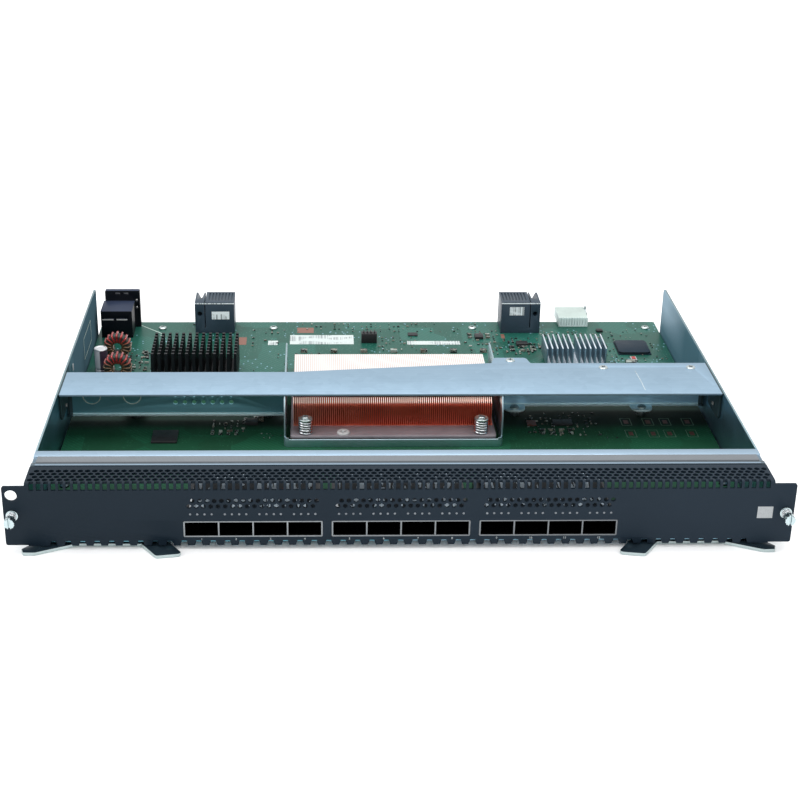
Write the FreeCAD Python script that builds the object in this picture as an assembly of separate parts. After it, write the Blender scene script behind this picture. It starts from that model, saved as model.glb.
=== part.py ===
"""Switch line card: folded faceplate, open steel tray, main board, heatsinks and connectors.

Millimetres, +Z up, +Y towards the backplane, X = 0 on the card's centre plane.
Everything is laid out with Y = 0 on the front face of the faceplate and Z = 0 on the
plane that the tray and the ejector levers stand on, then moved so that the origin is the
middle of the footprint.
"""
import FreeCAD
import Part
import math
import os

Vector = FreeCAD.Vector

# ---------------------------------------------------------------- overall sizes
ear_width = 12.45            # that stands out past the tray on each side
panel_height = 36.4          # height of the ears
ear_base = 3.1               # underside of the ears
body_width = 411.5           # across the tray; the ears stand out past it
body_base = 2.5              # lower edge of the faceplate
body_top = 41.4              # top plane of flange, crossbar and walls
tray_depth = 300.0           # rear end of the side walls
floor_overhang = 12.0        # of the tray floor past the walls
board_overhang = 17.0        # of the board past the walls
panel_sheet = 1.5
tray_sheet = 1.2
fold_radius = 1.8            # outer radius of the folds
fit_gap = 0.1                # between pieces of one body that are slipped together

# ---------------------------------------------------------------- faceplate
flange_depth = 20.1
ear_corner = 1.3
scallop_pitch = 8.0
scallop_margin = 13.5
scallop_width = 4.4
scallop_height = 3.0
ear_hole_radius = 3.35
fixing_inset = 4.8           # of the ear hole and the thumbscrews from the panel's ends
ear_hole_z = 33.9

# ---------------------------------------------------------------- ports
port_pitch = 19.0
ports_per_cage = 4
cage_gap = 5.8               # between neighbouring cages, past one port pitch
port_width = 18.2
port_height = 8.4
cage_sheet = 0.3
collar_sheet = 0.8
collar_depth = 7.0
cage_depth = 50.0
rider_height = 3.2           # of the heatsinks that ride on the cages
rider_rib = 4.0              # from the middle of each to its ribs
guide_lift = 12.7            # underside of the light guides above the board
guide_sheet = 2.2
guide_leg = 3.0

# ---------------------------------------------------------------- tray and rail
lift_front = 3.2             # underside of the raised front floor, above the levers
lift_start = 24.0
lift_end = 28.0
tray_front = 3.0
rail_shelf_y = 15.0
rail_lip_y = flange_depth + 0.2
gasket_y = 24.7
gasket_end_y = 32.9
rail_end_y = 40.2
rail_drop = 8.0
gasket_seat = 1.0
gasket_height = 1.2

# ---------------------------------------------------------------- board
board_top = 8.2
board_thickness = 2.4
board_front = 8.5
board_gap = 1.1              # between the board's edges and the walls
rear_standoffs = (-158.5, -77.9, 67.3)
side_standoff_inset = 9.0    # of the standoffs by the board's side edges
rear_standoff_inset = 12.8
front_standoff_y = 60.0
standoff_across = 6.0
spacer_across = 5.5
screw_radius = 1.5
screw_head_radius = 2.9
screw_head_height = 1.6
screw_head_sides = 8
bar_screw_head = 0.9

# ---------------------------------------------------------------- crossbar
bar_front = 115.9
bar_rear_left = 150.0
bar_rear_right = 163.5
bar_taper = 62.8
bar_tab_x = 78.2
bar_boss = 4.0               # height of the threaded bosses under the top plate
bar_screw_inset = 7.4
bar_screw_spots = (136.5, 192.7)
bar_tab_width = 21.0
bar_tab_depth = 8.8
bar_lip = 2.6
bar_lift = 3.8               # of the lips and feet above the board
bar_feet = (81.0, 163.5)
bar_foot_width = 14.0
bar_foot_reach = 10.3
bar_left_feet = (-162.2, -78.0)
bar_left_vents_x = -118.5
bar_right_vents_x = 120.0
vent_low_z = 21.0
vent_rise = 5.2
vent_columns = 7
vent_pitch = 5.9
vent_across = 2.8

# ---------------------------------------------------------------- main heatsink and duct
sink_x = 0.9
sink_width = 127.6
base_front = 112.2
base_rear = 200.0
base_lift = 4.7              # underside of the base plate above the board
base_sheet = 1.8
fin_front = 127.3
fin_rear = 199.0
fin_top = 32.7
fin_pitch = 3.19
fin_sheet = 0.35
duct_sheet = 1.0
duct_gap = 3.9               # between the base plate and the duct's walls, outside to outside
duct_front = 110.0
duct_rear = 201.0
duct_rail = 5.2
sink_screw_x = 54.5
sink_screw_y = 117.0
spring_room = 9.0            # between the base plate and the screw's flange
sink_screw_flange = 4.4
sink_spring_radius = 3.6
sink_spring_wire = 1.0
sink_spring_turns = 3
coil_sides = 6               # straight stretches in one turn of a spring

# ---------------------------------------------------------------- small heatsinks and chips
chip_height = 2.2
pin_sink_x = -128.2
pin_sink_offset = 69.5       # behind the crossbar's left rear edge
pin_sink_width = 57.2
pin_sink_depth = 37.6
pin_sink_top = 32.2
pin_columns = 13
pin_rows = 7
pin_across = 2.5
fin_sink_x = 131.8
fin_sink_inset = 76.0        # from the board's rear edge
fin_sink_width = 40.4
fin_sink_depth = 26.4
fin_sink_top = 24.4
fin_sink_sheet = 1.0
sink_base = 2.4

# ---------------------------------------------------------------- rear connectors
plane_width = 28.2
plane_depth = 21.6
plane_height = 23.8
plane_inset = 21.8           # of the backplane connectors' fronts from the board's rear edge
plane_left_x = -119.9
plane_right_x = 101.2
guide_width = 7.2
signal_x = 141.8
signal_width = 21.6
signal_inset = 10.1
signal_depth = 22.6
signal_height = 7.0
power_inset = 14.15          # of the power connector's middle from the board's left edge
power_width = 22.2
power_front_inset = 30.0
power_depth = 21.0
power_height = 20.3
power_plate_width = 25.0
power_plate_height = 28.0
power_plate_thickness = 4.0

# ---------------------------------------------------------------- board parts
# insets are from the board's left or right edge and from its rear edge
choke_insets = ((18.95, 67.0), (23.05, 103.0))
choke_radius = 8.6
choke_bore = 4.2
choke_width = 6.6
choke_wire = 0.7
choke_turns = 8
choke_lift = 0.8             # of the ring above the board
capacitor_insets = (10.25, 89.0)
capacitor_radius = 4.6
capacitor_height = 17.0
can_sides = 16
control_insets = (25.5, 51.0)
control_width = 23.4
header_inset = 38.0
header_x = -9.0
row_inset = 57.0             # of the row of chip capacitors behind the main heatsink
row_pitch = 21.1

# ---------------------------------------------------------------- ejector levers
pivot_inset = 17.75          # of the pivots from the tray's sides
pivot_y = 10.5
lever_sheet = 2.0
arm_reach = 49.0             # inboard of the pivot
paddle_reach = 67.8
paddle_width = 14.8
jaw_reach = 21.6             # outboard of the pivot
lever_clearance = 0.05
pivot_radius = 2.5
pivot_head_radius = 3.9
head_sides = 16              # of the small heads, bushes and washers
pivot_head = 0.9

# ---------------------------------------------------------------- thumbscrews
thumb_z = 22.0
thumb_radius = 3.1
thumb_head = 4.4
thumb_shaft = 1.5
thumb_clearance = 0.06
thumb_reach = 10.5           # front of the head at rest
thumb_washer = 0.5
thumb_spring_wire = 0.5
thumb_spring_turns = 3
ferrule_radius = 3.4
ferrule_lip = 1.2

# ---------------------------------------------------------------- worked-out places
panel_width = body_width + 2 * ear_width
half_body = body_width / 2
inner_wall = half_body - tray_sheet
half_board = inner_wall - board_gap
thumb_x = panel_width / 2 - fixing_inset
ear_hole_x = -thumb_x
pivot_x = half_body - pivot_inset
floor_depth = tray_depth + floor_overhang
board_rear = tray_depth + board_overhang
plane_front = board_rear - plane_inset
signal_front = board_rear - signal_inset
power_front = board_rear - power_front_inset
power_x = power_inset - half_board
pin_sink_y = bar_rear_left + pin_sink_offset
fin_sink_y = board_rear - fin_sink_inset
choke_places = [(side - half_board, board_rear - rear) for side, rear in choke_insets]
front_reach = thumb_reach
rear_reach = signal_front + signal_depth
origin_shift = Vector(0, -(rear_reach - front_reach) / 2, 0)
bar_underside = body_top - tray_sheet
shelf_top = body_top - panel_sheet
board_bottom = board_top - board_thickness
bar_lip_base = board_top + bar_lift
base_underside = board_top + base_lift
base_top = base_underside + base_sheet
sink_screw_seat = base_top + spring_room
duct_width = sink_width + 2 * duct_gap
cage_pitch = ports_per_cage * port_pitch + cage_gap
cage_centres = [(group - 1) * cage_pitch for group in range(3)]
cage_names = ["left", "middle", "right"]
cage_width = ports_per_cage * port_pitch - port_pitch + port_width + 2 * collar_sheet
collar_base = board_top + cage_sheet - collar_sheet
collar_top = board_top + cage_sheet + port_height + 0.6


def block(x0, x1, y0, y1, z0, z1):
    return Part.makeBox(x1 - x0, y1 - y0, z1 - z0, Vector(x0, y0, z0))


def centred_block(x, y, z, width, depth, height):
    return block(x - width / 2, x + width / 2, y - depth / 2, y + depth / 2, z, z + height)


def upright(x, y, z, radius, height):
    return Part.makeCylinder(radius, height, Vector(x, y, z))


def along_y(x, y, z, radius, length):
    return Part.makeCylinder(radius, length, Vector(x, y, z), Vector(0, 1, 0))


def fused(solids):
    first, rest = solids[0], solids[1:]
    return first.fuse(rest).removeSplitter() if rest else first


def rounded_wire(corners):
    """A closed wire through (point, radius) corners; a radius of 0 leaves a sharp corner."""
    edges = []
    ends = []
    count = len(corners)
    for index, (point, radius) in enumerate(corners):
        before = corners[index - 1][0]
        after = corners[(index + 1) % count][0]
        if radius <= 0:
            ends.append((point, point, None))
            continue
        towards_before = (before - point).normalize()
        towards_after = (after - point).normalize()
        half_turn = towards_before.getAngle(towards_after) / 2
        setback = radius / math.tan(half_turn)
        start = point + towards_before * setback
        stop = point + towards_after * setback
        bisector = (towards_before + towards_after).normalize()
        middle = point + bisector * (radius / math.sin(half_turn) - radius)
        ends.append((start, stop, middle))
    for index, (start, stop, middle) in enumerate(ends):
        if middle is not None:
            edges.append(Part.Arc(start, middle, stop).toShape())
        following = ends[(index + 1) % count][0]
        if (following - stop).Length > 1e-6:
            edges.append(Part.makeLine(stop, following))
    return Part.Wire(edges)


def plate_xy(corners, z, height):
    """Plate from (x, y, radius) corners, standing from z to z + height."""
    wire = rounded_wire([(Vector(x, y, z), r) for x, y, r in corners])
    return Part.Face(wire).extrude(Vector(0, 0, height))


def plate_xz(corners, y, depth):
    """Plate from (x, z, radius) corners, running back from y."""
    wire = rounded_wire([(Vector(x, y, z), r) for x, z, r in corners])
    return Part.Face(wire).extrude(Vector(0, depth, 0))


def profile_yz(corners, x0, x1):
    """Section from (y, z, radius) corners, drawn across the card from x0 to x1."""
    wire = rounded_wire([(Vector(x0, y, z), r) for y, z, r in corners])
    return Part.Face(wire).extrude(Vector(x1 - x0, 0, 0))


def prism(x, y, z0, z1, radius, sides=6):
    """Upright many-sided stand-in for a small round shank, head or hole."""
    points = []
    for step in range(sides + 1):
        angle = 2 * math.pi * (step + 0.5) / sides
        points.append(Vector(x + radius * math.cos(angle), y + radius * math.sin(angle), z0))
    return Part.Face(Part.makePolygon(points)).extrude(Vector(0, 0, z1 - z0))


def prism_along_y(x, y, z, radius, length, sides):
    """The same lying along Y, from y backwards."""
    shape = prism(0, 0, 0, length, radius, sides)
    shape.rotate(Vector(0, 0, 0), Vector(1, 0, 0), -90)
    shape.translate(Vector(x, y, z))
    return shape


def hexagon_prism(centre, across, direction, length):
    """Hexagonal prism with two corners up, across its flats along X."""
    radius = across / math.sqrt(3)
    points = []
    for step in range(7):
        angle = math.radians(60 * step + 90)
        side = radius * math.cos(angle)
        rise = radius * math.sin(angle)
        if direction.y:
            points.append(centre + Vector(side, 0, rise))
        else:
            points.append(centre + Vector(side, rise, 0))
    return Part.Face(Part.makePolygon(points)).extrude(direction * length)


# ================================================================ sheet metal
def make_faceplate():
    inner_radius = fold_radius - panel_sheet
    sheet = profile_yz([
        (0, body_base, 0),
        (panel_sheet, body_base, 0),
        (panel_sheet, body_top - panel_sheet, inner_radius),
        (flange_depth, body_top - panel_sheet, 0),
        (flange_depth, body_top, 0),
        (0, body_top, fold_radius)], -half_body, half_body)
    half_panel = panel_width / 2
    ear_top = ear_base + panel_height
    ears = plate_xz([
        (-half_panel, ear_base, ear_corner),
        (half_panel, ear_base, ear_corner),
        (half_panel, ear_top, ear_corner),
        (-half_panel, ear_top, ear_corner)], 0, panel_sheet)
    plate = sheet.fuse(ears).removeSplitter()
    cuts = [along_y(ear_hole_x, -1, ear_hole_z, ear_hole_radius, panel_sheet + 2)]
    for side in (-1, 1):
        cuts.append(prism_along_y(side * thumb_x, -1, thumb_z, ferrule_radius - 0.8,
                                  panel_sheet + 2, head_sides))
    for centre in cage_centres:
        half = cage_width / 2 + fit_gap
        cuts.append(block(centre - half, centre + half, -1, panel_sheet + 1,
                          collar_base - fit_gap, collar_top + fit_gap))
    cuts += [scallop(x) for x in spread(half_body - scallop_margin, scallop_pitch)]
    return plate.cut(Part.makeCompound(cuts))


def spread(reach, pitch):
    """Places at one pitch, centred on the card, as many as fit within reach of the middle."""
    steps = int(reach / pitch)
    return [(index - steps) * pitch for index in range(2 * steps + 1)]


def scallop(x):
    """Trapezoidal notch in the lower edge of the faceplate."""
    foot = scallop_width / 2
    crown = foot * 0.6
    return plate_xz([
        (x - foot, body_base - 0.1, 0),
        (x + foot, body_base - 0.1, 0),
        (x + crown, body_base + scallop_height, 0),
        (x - crown, body_base + scallop_height, 0)], -1, panel_sheet + 2)


def make_tray():
    """Floor with a raised front step over the levers, and two side walls."""
    lifted = lift_front + tray_sheet
    floor = profile_yz([
        (tray_front, lift_front, 0),
        (lift_start, lift_front, 0),
        (lift_end, 0, 0),
        (floor_depth, 0, 0),
        (floor_depth, tray_sheet, 0),
        (lift_end + 0.6, tray_sheet, 0),
        (lift_start + 0.6, lifted, 0),
        (tray_front, lifted, 0)], -half_body, half_body)
    wall_top = body_top - tray_sheet - gasket_seat
    walls = []
    for x0 in (-half_body, inner_wall):
        walls.append(profile_yz([
            (tray_front, lift_front, 0),
            (lift_start, lift_front, 0),
            (lift_end, 0, 0),
            (tray_depth, 0, 0),
            (tray_depth, body_top, 4.0),
            (rail_end_y + 0.3, body_top, 0),
            (rail_end_y + 0.3, wall_top, 0),
            (tray_front, wall_top, 0)], x0, x0 + tray_sheet))
    tray = fused([floor] + walls)
    cuts = [upright(side * pivot_x, pivot_y, lift_front - 1, pivot_radius, tray_sheet + 2)
            for side in (-1, 1)]
    return tray.cut(Part.makeCompound(cuts))


def make_top_rail():
    """Hat-section rail behind the flange, with a sunk seat for the gasket."""
    seat = body_top - gasket_seat
    strip = profile_yz([
        (rail_shelf_y, shelf_top, 0),
        (rail_lip_y, shelf_top, 0),
        (rail_lip_y, body_top, 0),
        (gasket_y, body_top, 0),
        (gasket_y, seat, 0),
        (gasket_end_y, seat, 0),
        (gasket_end_y, body_top, 0),
        (rail_end_y, body_top, 0.8),
        (rail_end_y, bar_underside - gasket_seat, 0),
        (rail_shelf_y, bar_underside - gasket_seat, 0)], -half_body, half_body)
    lip = block(-inner_wall + fit_gap, inner_wall - fit_gap, rail_end_y - tray_sheet, rail_end_y,
                body_top - rail_drop, body_top - tray_sheet)
    return strip.fuse(lip).removeSplitter()


def make_gasket():
    seat = body_top - gasket_seat
    return profile_yz([
        (gasket_y + fit_gap, seat, 0),
        (gasket_end_y - fit_gap, seat, 0),
        (gasket_end_y - fit_gap, seat + gasket_height, 0.5),
        (gasket_y + fit_gap, seat + gasket_height, 0.5)], -half_body + 2.5, half_body - 2.5)


def bar_outline():
    half = inner_wall - fit_gap
    tab_left = bar_tab_x - bar_tab_width / 2
    tab_right = bar_tab_x + bar_tab_width / 2
    tab_rear = bar_rear_right + bar_tab_depth
    return [
        (-half, bar_front, 0),
        (half, bar_front, 0),
        (half, bar_rear_right, 0),
        (tab_right + 2, bar_rear_right, 1.5),
        (tab_right, tab_rear, 2.5),
        (tab_left, tab_rear, 2.5),
        (tab_left - 2, bar_rear_right, 1.5),
        (bar_taper, bar_rear_right, 0),
        (-bar_taper, bar_rear_left, 0),
        (-half, bar_rear_left, 0)]


def make_crossbar():
    """Top plate with two rear webs that stand on the board, feet and end flanges."""
    half = inner_wall - fit_gap
    duct_left = sink_x - duct_width / 2 - 0.4
    duct_right = sink_x + duct_width / 2 + 0.4
    pieces = [plate_xy(bar_outline(), bar_underside, tray_sheet)]
    for x0, x1, rear in ((-half, duct_left, bar_rear_left), (duct_right, half, bar_rear_right)):
        pieces.append(block(x0, x1, rear - tray_sheet, rear, bar_lip_base, bar_underside))
        pieces.append(block(x0, x1, rear - bar_lip, rear, bar_lip_base, bar_lip_base + tray_sheet))
    pieces += [bar_foot(x, bar_rear_right - tray_sheet, -1) for x in bar_feet]
    pieces += [bar_foot(x, bar_rear_left, 1) for x in bar_left_feet]
    for x0 in (-half, half - tray_sheet):
        pieces.append(profile_yz([
            (bar_front + 3, bar_underside, 0),
            (bar_front + 3, 22, 3),
            (bar_rear_left - 4, 22, 3),
            (bar_rear_left - 4, bar_underside, 0)], x0, x0 + tray_sheet))
    bar = fused(pieces)
    cuts = []
    for x, y in bar_screw_places():
        cuts.append(prism(x, y, bar_underside - 1, body_top + 1, screw_radius + fit_gap))
    for x, y in bar_seat_places():
        cuts.append(prism(x, y, bar_lip_base - 1, bar_lip_base + 2, screw_radius + fit_gap))
    for centre, rear in ((bar_left_vents_x, bar_rear_left), (bar_right_vents_x, bar_rear_right)):
        for column in range(vent_columns):
            for row in range(2):
                place = Vector(centre + (column - (vent_columns - 1) / 2) * vent_pitch,
                               rear - tray_sheet - 1, vent_low_z + row * vent_rise)
                cuts.append(hexagon_prism(place, vent_across, Vector(0, 1, 0), tray_sheet + 2))
    return bar.cut(Part.makeCompound(cuts))


def bar_foot(x, start, way):
    """Rounded foot at the bottom of a web: forwards from it for way -1, backwards for way 1."""
    half = bar_foot_width / 2
    corner = half - 2
    return plate_xy([
        (x - half, start - way * 0.5, 0),
        (x - half, start + way * bar_foot_reach, corner),
        (x + half, start + way * bar_foot_reach, corner),
        (x + half, start - way * 0.5, 0)], bar_lip_base, tray_sheet)


def bar_screw_places():
    """The tab's screw, then the two along the rear edge of the top plate."""
    tab_y = bar_rear_right + bar_tab_depth / 2
    return [(bar_tab_x, tab_y), *((x, bar_rear_right - bar_screw_inset) for x in bar_screw_spots)]


def bar_seat_places():
    """Where the feet are screwed down through spacers to the board."""
    inset = bar_foot_reach / 2 + 0.6
    right = [(x, bar_rear_right - tray_sheet - inset) for x in bar_feet]
    return right + [(x, bar_rear_left + inset) for x in bar_left_feet]


def make_duct():
    """Folded air guide round the main heatsink: two walls and a low front rail."""
    outer = duct_width / 2
    inner = outer - duct_sheet
    bend = 3.0
    walls = plate_xy([
        (sink_x - outer, duct_rear, 0),
        (sink_x - outer, duct_front, bend),
        (sink_x + outer, duct_front, bend),
        (sink_x + outer, duct_rear, 0),
        (sink_x + inner, duct_rear, 0),
        (sink_x + inner, duct_front + duct_sheet, bend - duct_sheet),
        (sink_x - inner, duct_front + duct_sheet, bend - duct_sheet),
        (sink_x - inner, duct_rear, 0)], board_top, bar_underside - fit_gap - board_top)
    window = block(sink_x - outer + bend, sink_x + outer - bend, duct_front - 1,
                   duct_front + 2, board_top + duct_rail, body_top)
    slope = profile_yz([
        (duct_front - 1, board_top + duct_rail + 1, 0),
        (duct_front + bend, board_top + duct_rail + 1, 0),
        (duct_front + bend, 28.0, 0),
        (duct_front + 9, body_top + 1, 0),
        (duct_front - 1, body_top + 1, 0)], sink_x - outer - 1, sink_x + outer + 1)
    return walls.cut([window, slope])


# ================================================================ board and fasteners
def standoff_places():
    rear = board_rear - rear_standoff_inset
    side = half_board - side_standoff_inset
    free = [(x, rear) for x in rear_standoffs] + [(side, rear)]
    front = [(-side, front_standoff_y), (side, front_standoff_y)]
    return free + front + bar_seat_places()


def make_board():
    half = half_board
    board = plate_xy([
        (-half, board_front, 1),
        (half, board_front, 1),
        (half, board_rear, 1.5),
        (-half, board_rear, 1.5)], board_bottom, board_thickness)
    holes = [prism(x, y, board_bottom - 1, board_top + 1, screw_radius + fit_gap)
             for x, y in standoff_places()]
    return board.cut(Part.makeCompound(holes))


def make_standoffs():
    """Press-in hexagonal posts between the tray floor and the board."""
    return Part.makeCompound([
        hexagon_prism(Vector(x, y, tray_sheet), standoff_across, Vector(0, 0, 1),
                      board_bottom - tray_sheet) for x, y in standoff_places()])


def make_bar_spacers():
    """Hexagonal spacers between the board and the crossbar's lips and feet."""
    spacers = []
    for x, y in bar_seat_places():
        post = hexagon_prism(Vector(x, y, board_top), spacer_across, Vector(0, 0, 1),
                             bar_lip_base - board_top)
        spacers.append(post.cut(prism(x, y, board_top - 1, bar_lip_base + 1, screw_radius)))
    return Part.makeCompound(spacers)


def pan_screw(x, y, seat, tip, head_height):
    """Screw with its head above seat and its shank down to tip."""
    return fused([
        prism(x, y, seat, seat + head_height, screw_head_radius, screw_head_sides),
        prism(x, y, tip, seat, screw_radius)])


def make_board_screws():
    on_bar = bar_seat_places()
    screws = []
    for place in standoff_places():
        seat = bar_lip_base + tray_sheet if place in on_bar else board_top
        screws.append(pan_screw(place[0], place[1], seat, board_bottom, screw_head_height))
    return Part.makeCompound(screws)


def make_bar_posts():
    """A tall hexagonal post under the tab, and threaded bosses pressed into the top plate."""
    tab, *others = bar_screw_places()
    up = Vector(0, 0, 1)
    post = hexagon_prism(Vector(*tab, board_top), spacer_across, up, bar_underside - board_top)
    bosses = [hexagon_prism(Vector(x, y, bar_underside - bar_boss), spacer_across, up, bar_boss)
              for x, y in others]
    return Part.makeCompound([post, *bosses])


def make_bar_screws():
    """Low-head screws through the crossbar into its posts."""
    return Part.makeCompound([pan_screw(x, y, body_top, bar_underside, bar_screw_head)
                              for x, y in bar_screw_places()])


# ================================================================ ports
def make_cage(centre):
    """Ganged sheet cage with one bay for each port and a collar in the faceplate window."""
    half = cage_width / 2
    floor = board_top
    roof = board_top + cage_sheet + port_height + cage_sheet
    body = block(centre - half + 0.4, centre + half - 0.4, collar_depth, cage_depth, floor, roof)
    collar = plate_xz([
        (centre - half, collar_base, 0.8),
        (centre + half, collar_base, 0.8),
        (centre + half, collar_top, 0.8),
        (centre - half, collar_top, 0.8)], 0.1, collar_depth - 0.1)
    cage = collar.fuse(body)
    bays = []
    for index in range(ports_per_cage):
        x = centre + (index - (ports_per_cage - 1) / 2) * port_pitch
        bays.append(block(x - port_width / 2, x + port_width / 2, -1, cage_depth - 1,
                          floor + cage_sheet, floor + cage_sheet + port_height))
    return cage.cut(bays)


def port_centres():
    return [centre + (index - (ports_per_cage - 1) / 2) * port_pitch
            for centre in cage_centres for index in range(ports_per_cage)]


def make_port_connectors():
    """Edge-card receptacles on the board, at the back of each bay."""
    bodies = []
    for x in port_centres():
        front = cage_depth - 13
        body = block(x - 8.2, x + 8.2, front, cage_depth - 2, board_top + cage_sheet,
                     board_top + cage_sheet + 6.4)
        mouth = block(x - 7.2, x + 7.2, front - 1, front + 6, board_top + 2.7, board_top + 4.3)
        bodies.append(body.cut(mouth))
    return Part.makeCompound(bodies)


def make_cage_heatsinks():
    """Low riding heatsinks on the cages, one a port, each with two ribs."""
    roof = board_top + 2 * cage_sheet + port_height
    sinks = []
    for x in port_centres():
        fins = [block(x - 7.5, x + 7.5, 9, 36, roof, roof + 1.2)]
        for fin_x in (x - rider_rib, x + rider_rib):
            fins.append(block(fin_x - 0.4, fin_x + 0.4, 9, 36, roof + 1.2, roof + rider_height))
        sinks.append(fused(fins))
    return Part.makeCompound(sinks)


def make_light_guide(centre):
    """Clear bar over a cage that carries the lamps' light to the faceplate, with rear legs."""
    half = cage_width / 2 - 4
    back = cage_depth + guide_leg + 1
    under = board_top + guide_lift
    pieces = [block(centre - half, centre + half, panel_sheet + fit_gap, back, under,
                    under + guide_sheet)]
    for side in (-1, 1):
        leg_x = centre + side * (half - guide_leg / 2)
        pieces.append(centred_block(leg_x, back - guide_leg / 2, board_top, guide_leg, guide_leg,
                                    guide_lift))
    return fused(pieces)


# ================================================================ main heatsink
def make_switch_chip():
    return fused([
        centred_block(sink_x, 160, board_top, 50, 50, 2.0),
        centred_block(sink_x, 160, board_top + 2.0, 42, 42, 1.6)])


def make_heatsink_base():
    half = sink_width / 2
    plate = plate_xy([
        (sink_x - half, base_front, 2),
        (sink_x + half, base_front, 2),
        (sink_x + half, base_rear, 2),
        (sink_x - half, base_rear, 2)], base_underside, base_top - base_underside)
    pedestal = centred_block(sink_x, 160, board_top + 3.6, 40, 40, base_underside - board_top - 3.6)
    holes = [prism(x, y, base_underside - 1, base_top + 1, screw_radius + fit_gap)
             for x, y in sink_screw_places()]
    return plate.fuse(pedestal).removeSplitter().cut(Part.makeCompound(holes))


def sink_screw_places():
    return [(sink_x - sink_screw_x, sink_screw_y), (sink_x + sink_screw_x, sink_screw_y)]


def make_heatsink_fins():
    """Stack of folded fins whose top and bottom flanges close up into skins."""
    width = sink_width
    count = int((width - fin_sheet) / fin_pitch)
    span = count * fin_pitch + fin_sheet
    left = sink_x - span / 2
    stack = block(left, left + span, fin_front, fin_rear, base_top, fin_top)
    channels = []
    for index in range(count):
        x0 = left + fin_sheet + index * fin_pitch
        channels.append(block(x0, x0 + fin_pitch - fin_sheet, fin_front - 1, fin_rear + 1,
                              base_top + fin_sheet, fin_top - fin_sheet))
    return stack.cut(Part.makeCompound(channels))


def make_sink_screws():
    """Shoulder screws that hold the heatsink down through springs."""
    screws = []
    for x, y in sink_screw_places():
        top = sink_screw_seat + 1.2
        flange = prism(x, y, sink_screw_seat, top, sink_screw_flange, 12)
        boss = prism(x, y, top, top + 1.6, sink_screw_flange / 2)
        slot = centred_block(x, y, top + 0.8, 0.8, 6, 2)
        shank = prism(x, y, board_top, sink_screw_seat, screw_radius)
        screws.append(fused([shank, flange, boss]).cut(slot))
    return Part.makeCompound(screws)


def make_sink_springs():
    """Coils between the base and the heads of the shoulder screws."""
    coils = [coil(Vector(x, y, base_top), Vector(0, 0, 1), sink_screw_seat - base_top,
                  sink_spring_radius, sink_spring_wire, sink_spring_turns)
             for x, y in sink_screw_places()]
    return Part.makeCompound(coils)


def coil(foot, axis, length, radius, wire, turns):
    """Square-wire compression coil with its ends inside the given length."""
    steps = coil_sides * turns
    half = wire / 2
    rings = []
    for step in range(steps + 1):
        angle = 2 * math.pi * step / coil_sides
        out = Vector(math.cos(angle), math.sin(angle), 0)
        rise = half + (length - wire) * step / steps
        rings.append([out * (radius + across) + Vector(0, 0, rise + along) for across, along in
                      ((-half, -half), (half, -half), (half, half), (-half, half))])
    faces = [flat_face(rings[0]), flat_face(rings[-1])]
    for lower, upper in zip(rings, rings[1:]):
        for corner in range(4):
            following = (corner + 1) % 4
            faces.append(flat_face([lower[corner], lower[following], upper[following]]))
            faces.append(flat_face([lower[corner], upper[following], upper[corner]]))
    body = Part.makeSolid(Part.makeShell(faces))
    body.Placement = FreeCAD.Placement(foot, FreeCAD.Rotation(Vector(0, 0, 1), axis))
    return body


def flat_face(points):
    return Part.Face(Part.makePolygon([*points, points[0]]))


def make_sink_rivets():
    place = Vector(sink_x - 31.0, sink_screw_y, base_top)
    collar = prism(place.x, place.y, base_top, base_top + 1.0, 4.0, 12)
    return collar.fuse(prism(place.x, place.y, base_top + 1.0, base_top + 2.2, 2.4))


# ================================================================ small heatsinks and chips
def make_pin_sink():
    base = centred_block(pin_sink_x, pin_sink_y, board_top + chip_height,
                         pin_sink_width, pin_sink_depth, sink_base)
    foot = board_top + chip_height + sink_base
    pitch_x = (pin_sink_width - pin_across) / (pin_columns - 1)
    pitch_y = (pin_sink_depth - pin_across) / (pin_rows - 1)
    pins = []
    for column in range(pin_columns):
        for row in range(pin_rows):
            pins.append(centred_block(
                pin_sink_x + (column - (pin_columns - 1) / 2) * pitch_x,
                pin_sink_y + (row - (pin_rows - 1) / 2) * pitch_y,
                foot, pin_across, pin_across, pin_sink_top - foot))
    return fused([base] + pins)


def make_fin_sink():
    """Two groups of six plate fins on one base."""
    foot = board_top + chip_height
    base = centred_block(fin_sink_x, fin_sink_y, foot, fin_sink_width, fin_sink_depth, sink_base)
    pitch = 3.55
    middle_gap = 4.9
    fins = []
    for side in (-1, 1):
        for index in range(6):
            x = fin_sink_x + side * (middle_gap / 2 + index * pitch)
            fins.append(centred_block(x, fin_sink_y, foot + sink_base, fin_sink_sheet,
                                      fin_sink_depth, fin_sink_top - foot - sink_base))
    return fused([base] + fins)


def make_pin_sink_chip():
    return centred_block(pin_sink_x, pin_sink_y, board_top, 31, 31, chip_height)


def make_fin_sink_chip():
    return centred_block(fin_sink_x, fin_sink_y, board_top, 21, 21, chip_height)


def make_control_chip():
    """Moulded package with rounded corners on its carrier."""
    x = half_board - control_insets[0]
    y = board_rear - control_insets[1]
    half = control_width / 2 - 0.5
    cap = plate_xy([
        (x - half, y - half, 3), (x + half, y - half, 3),
        (x + half, y + half, 3), (x - half, y + half, 3)], board_top + 0.5, 1.4)
    return fused([centred_block(x, y, board_top, control_width, control_width, 0.5), cap])


def make_front_chip():
    return centred_block(-141.3, 124.0, board_top, 16, 17, 1.4)


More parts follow.
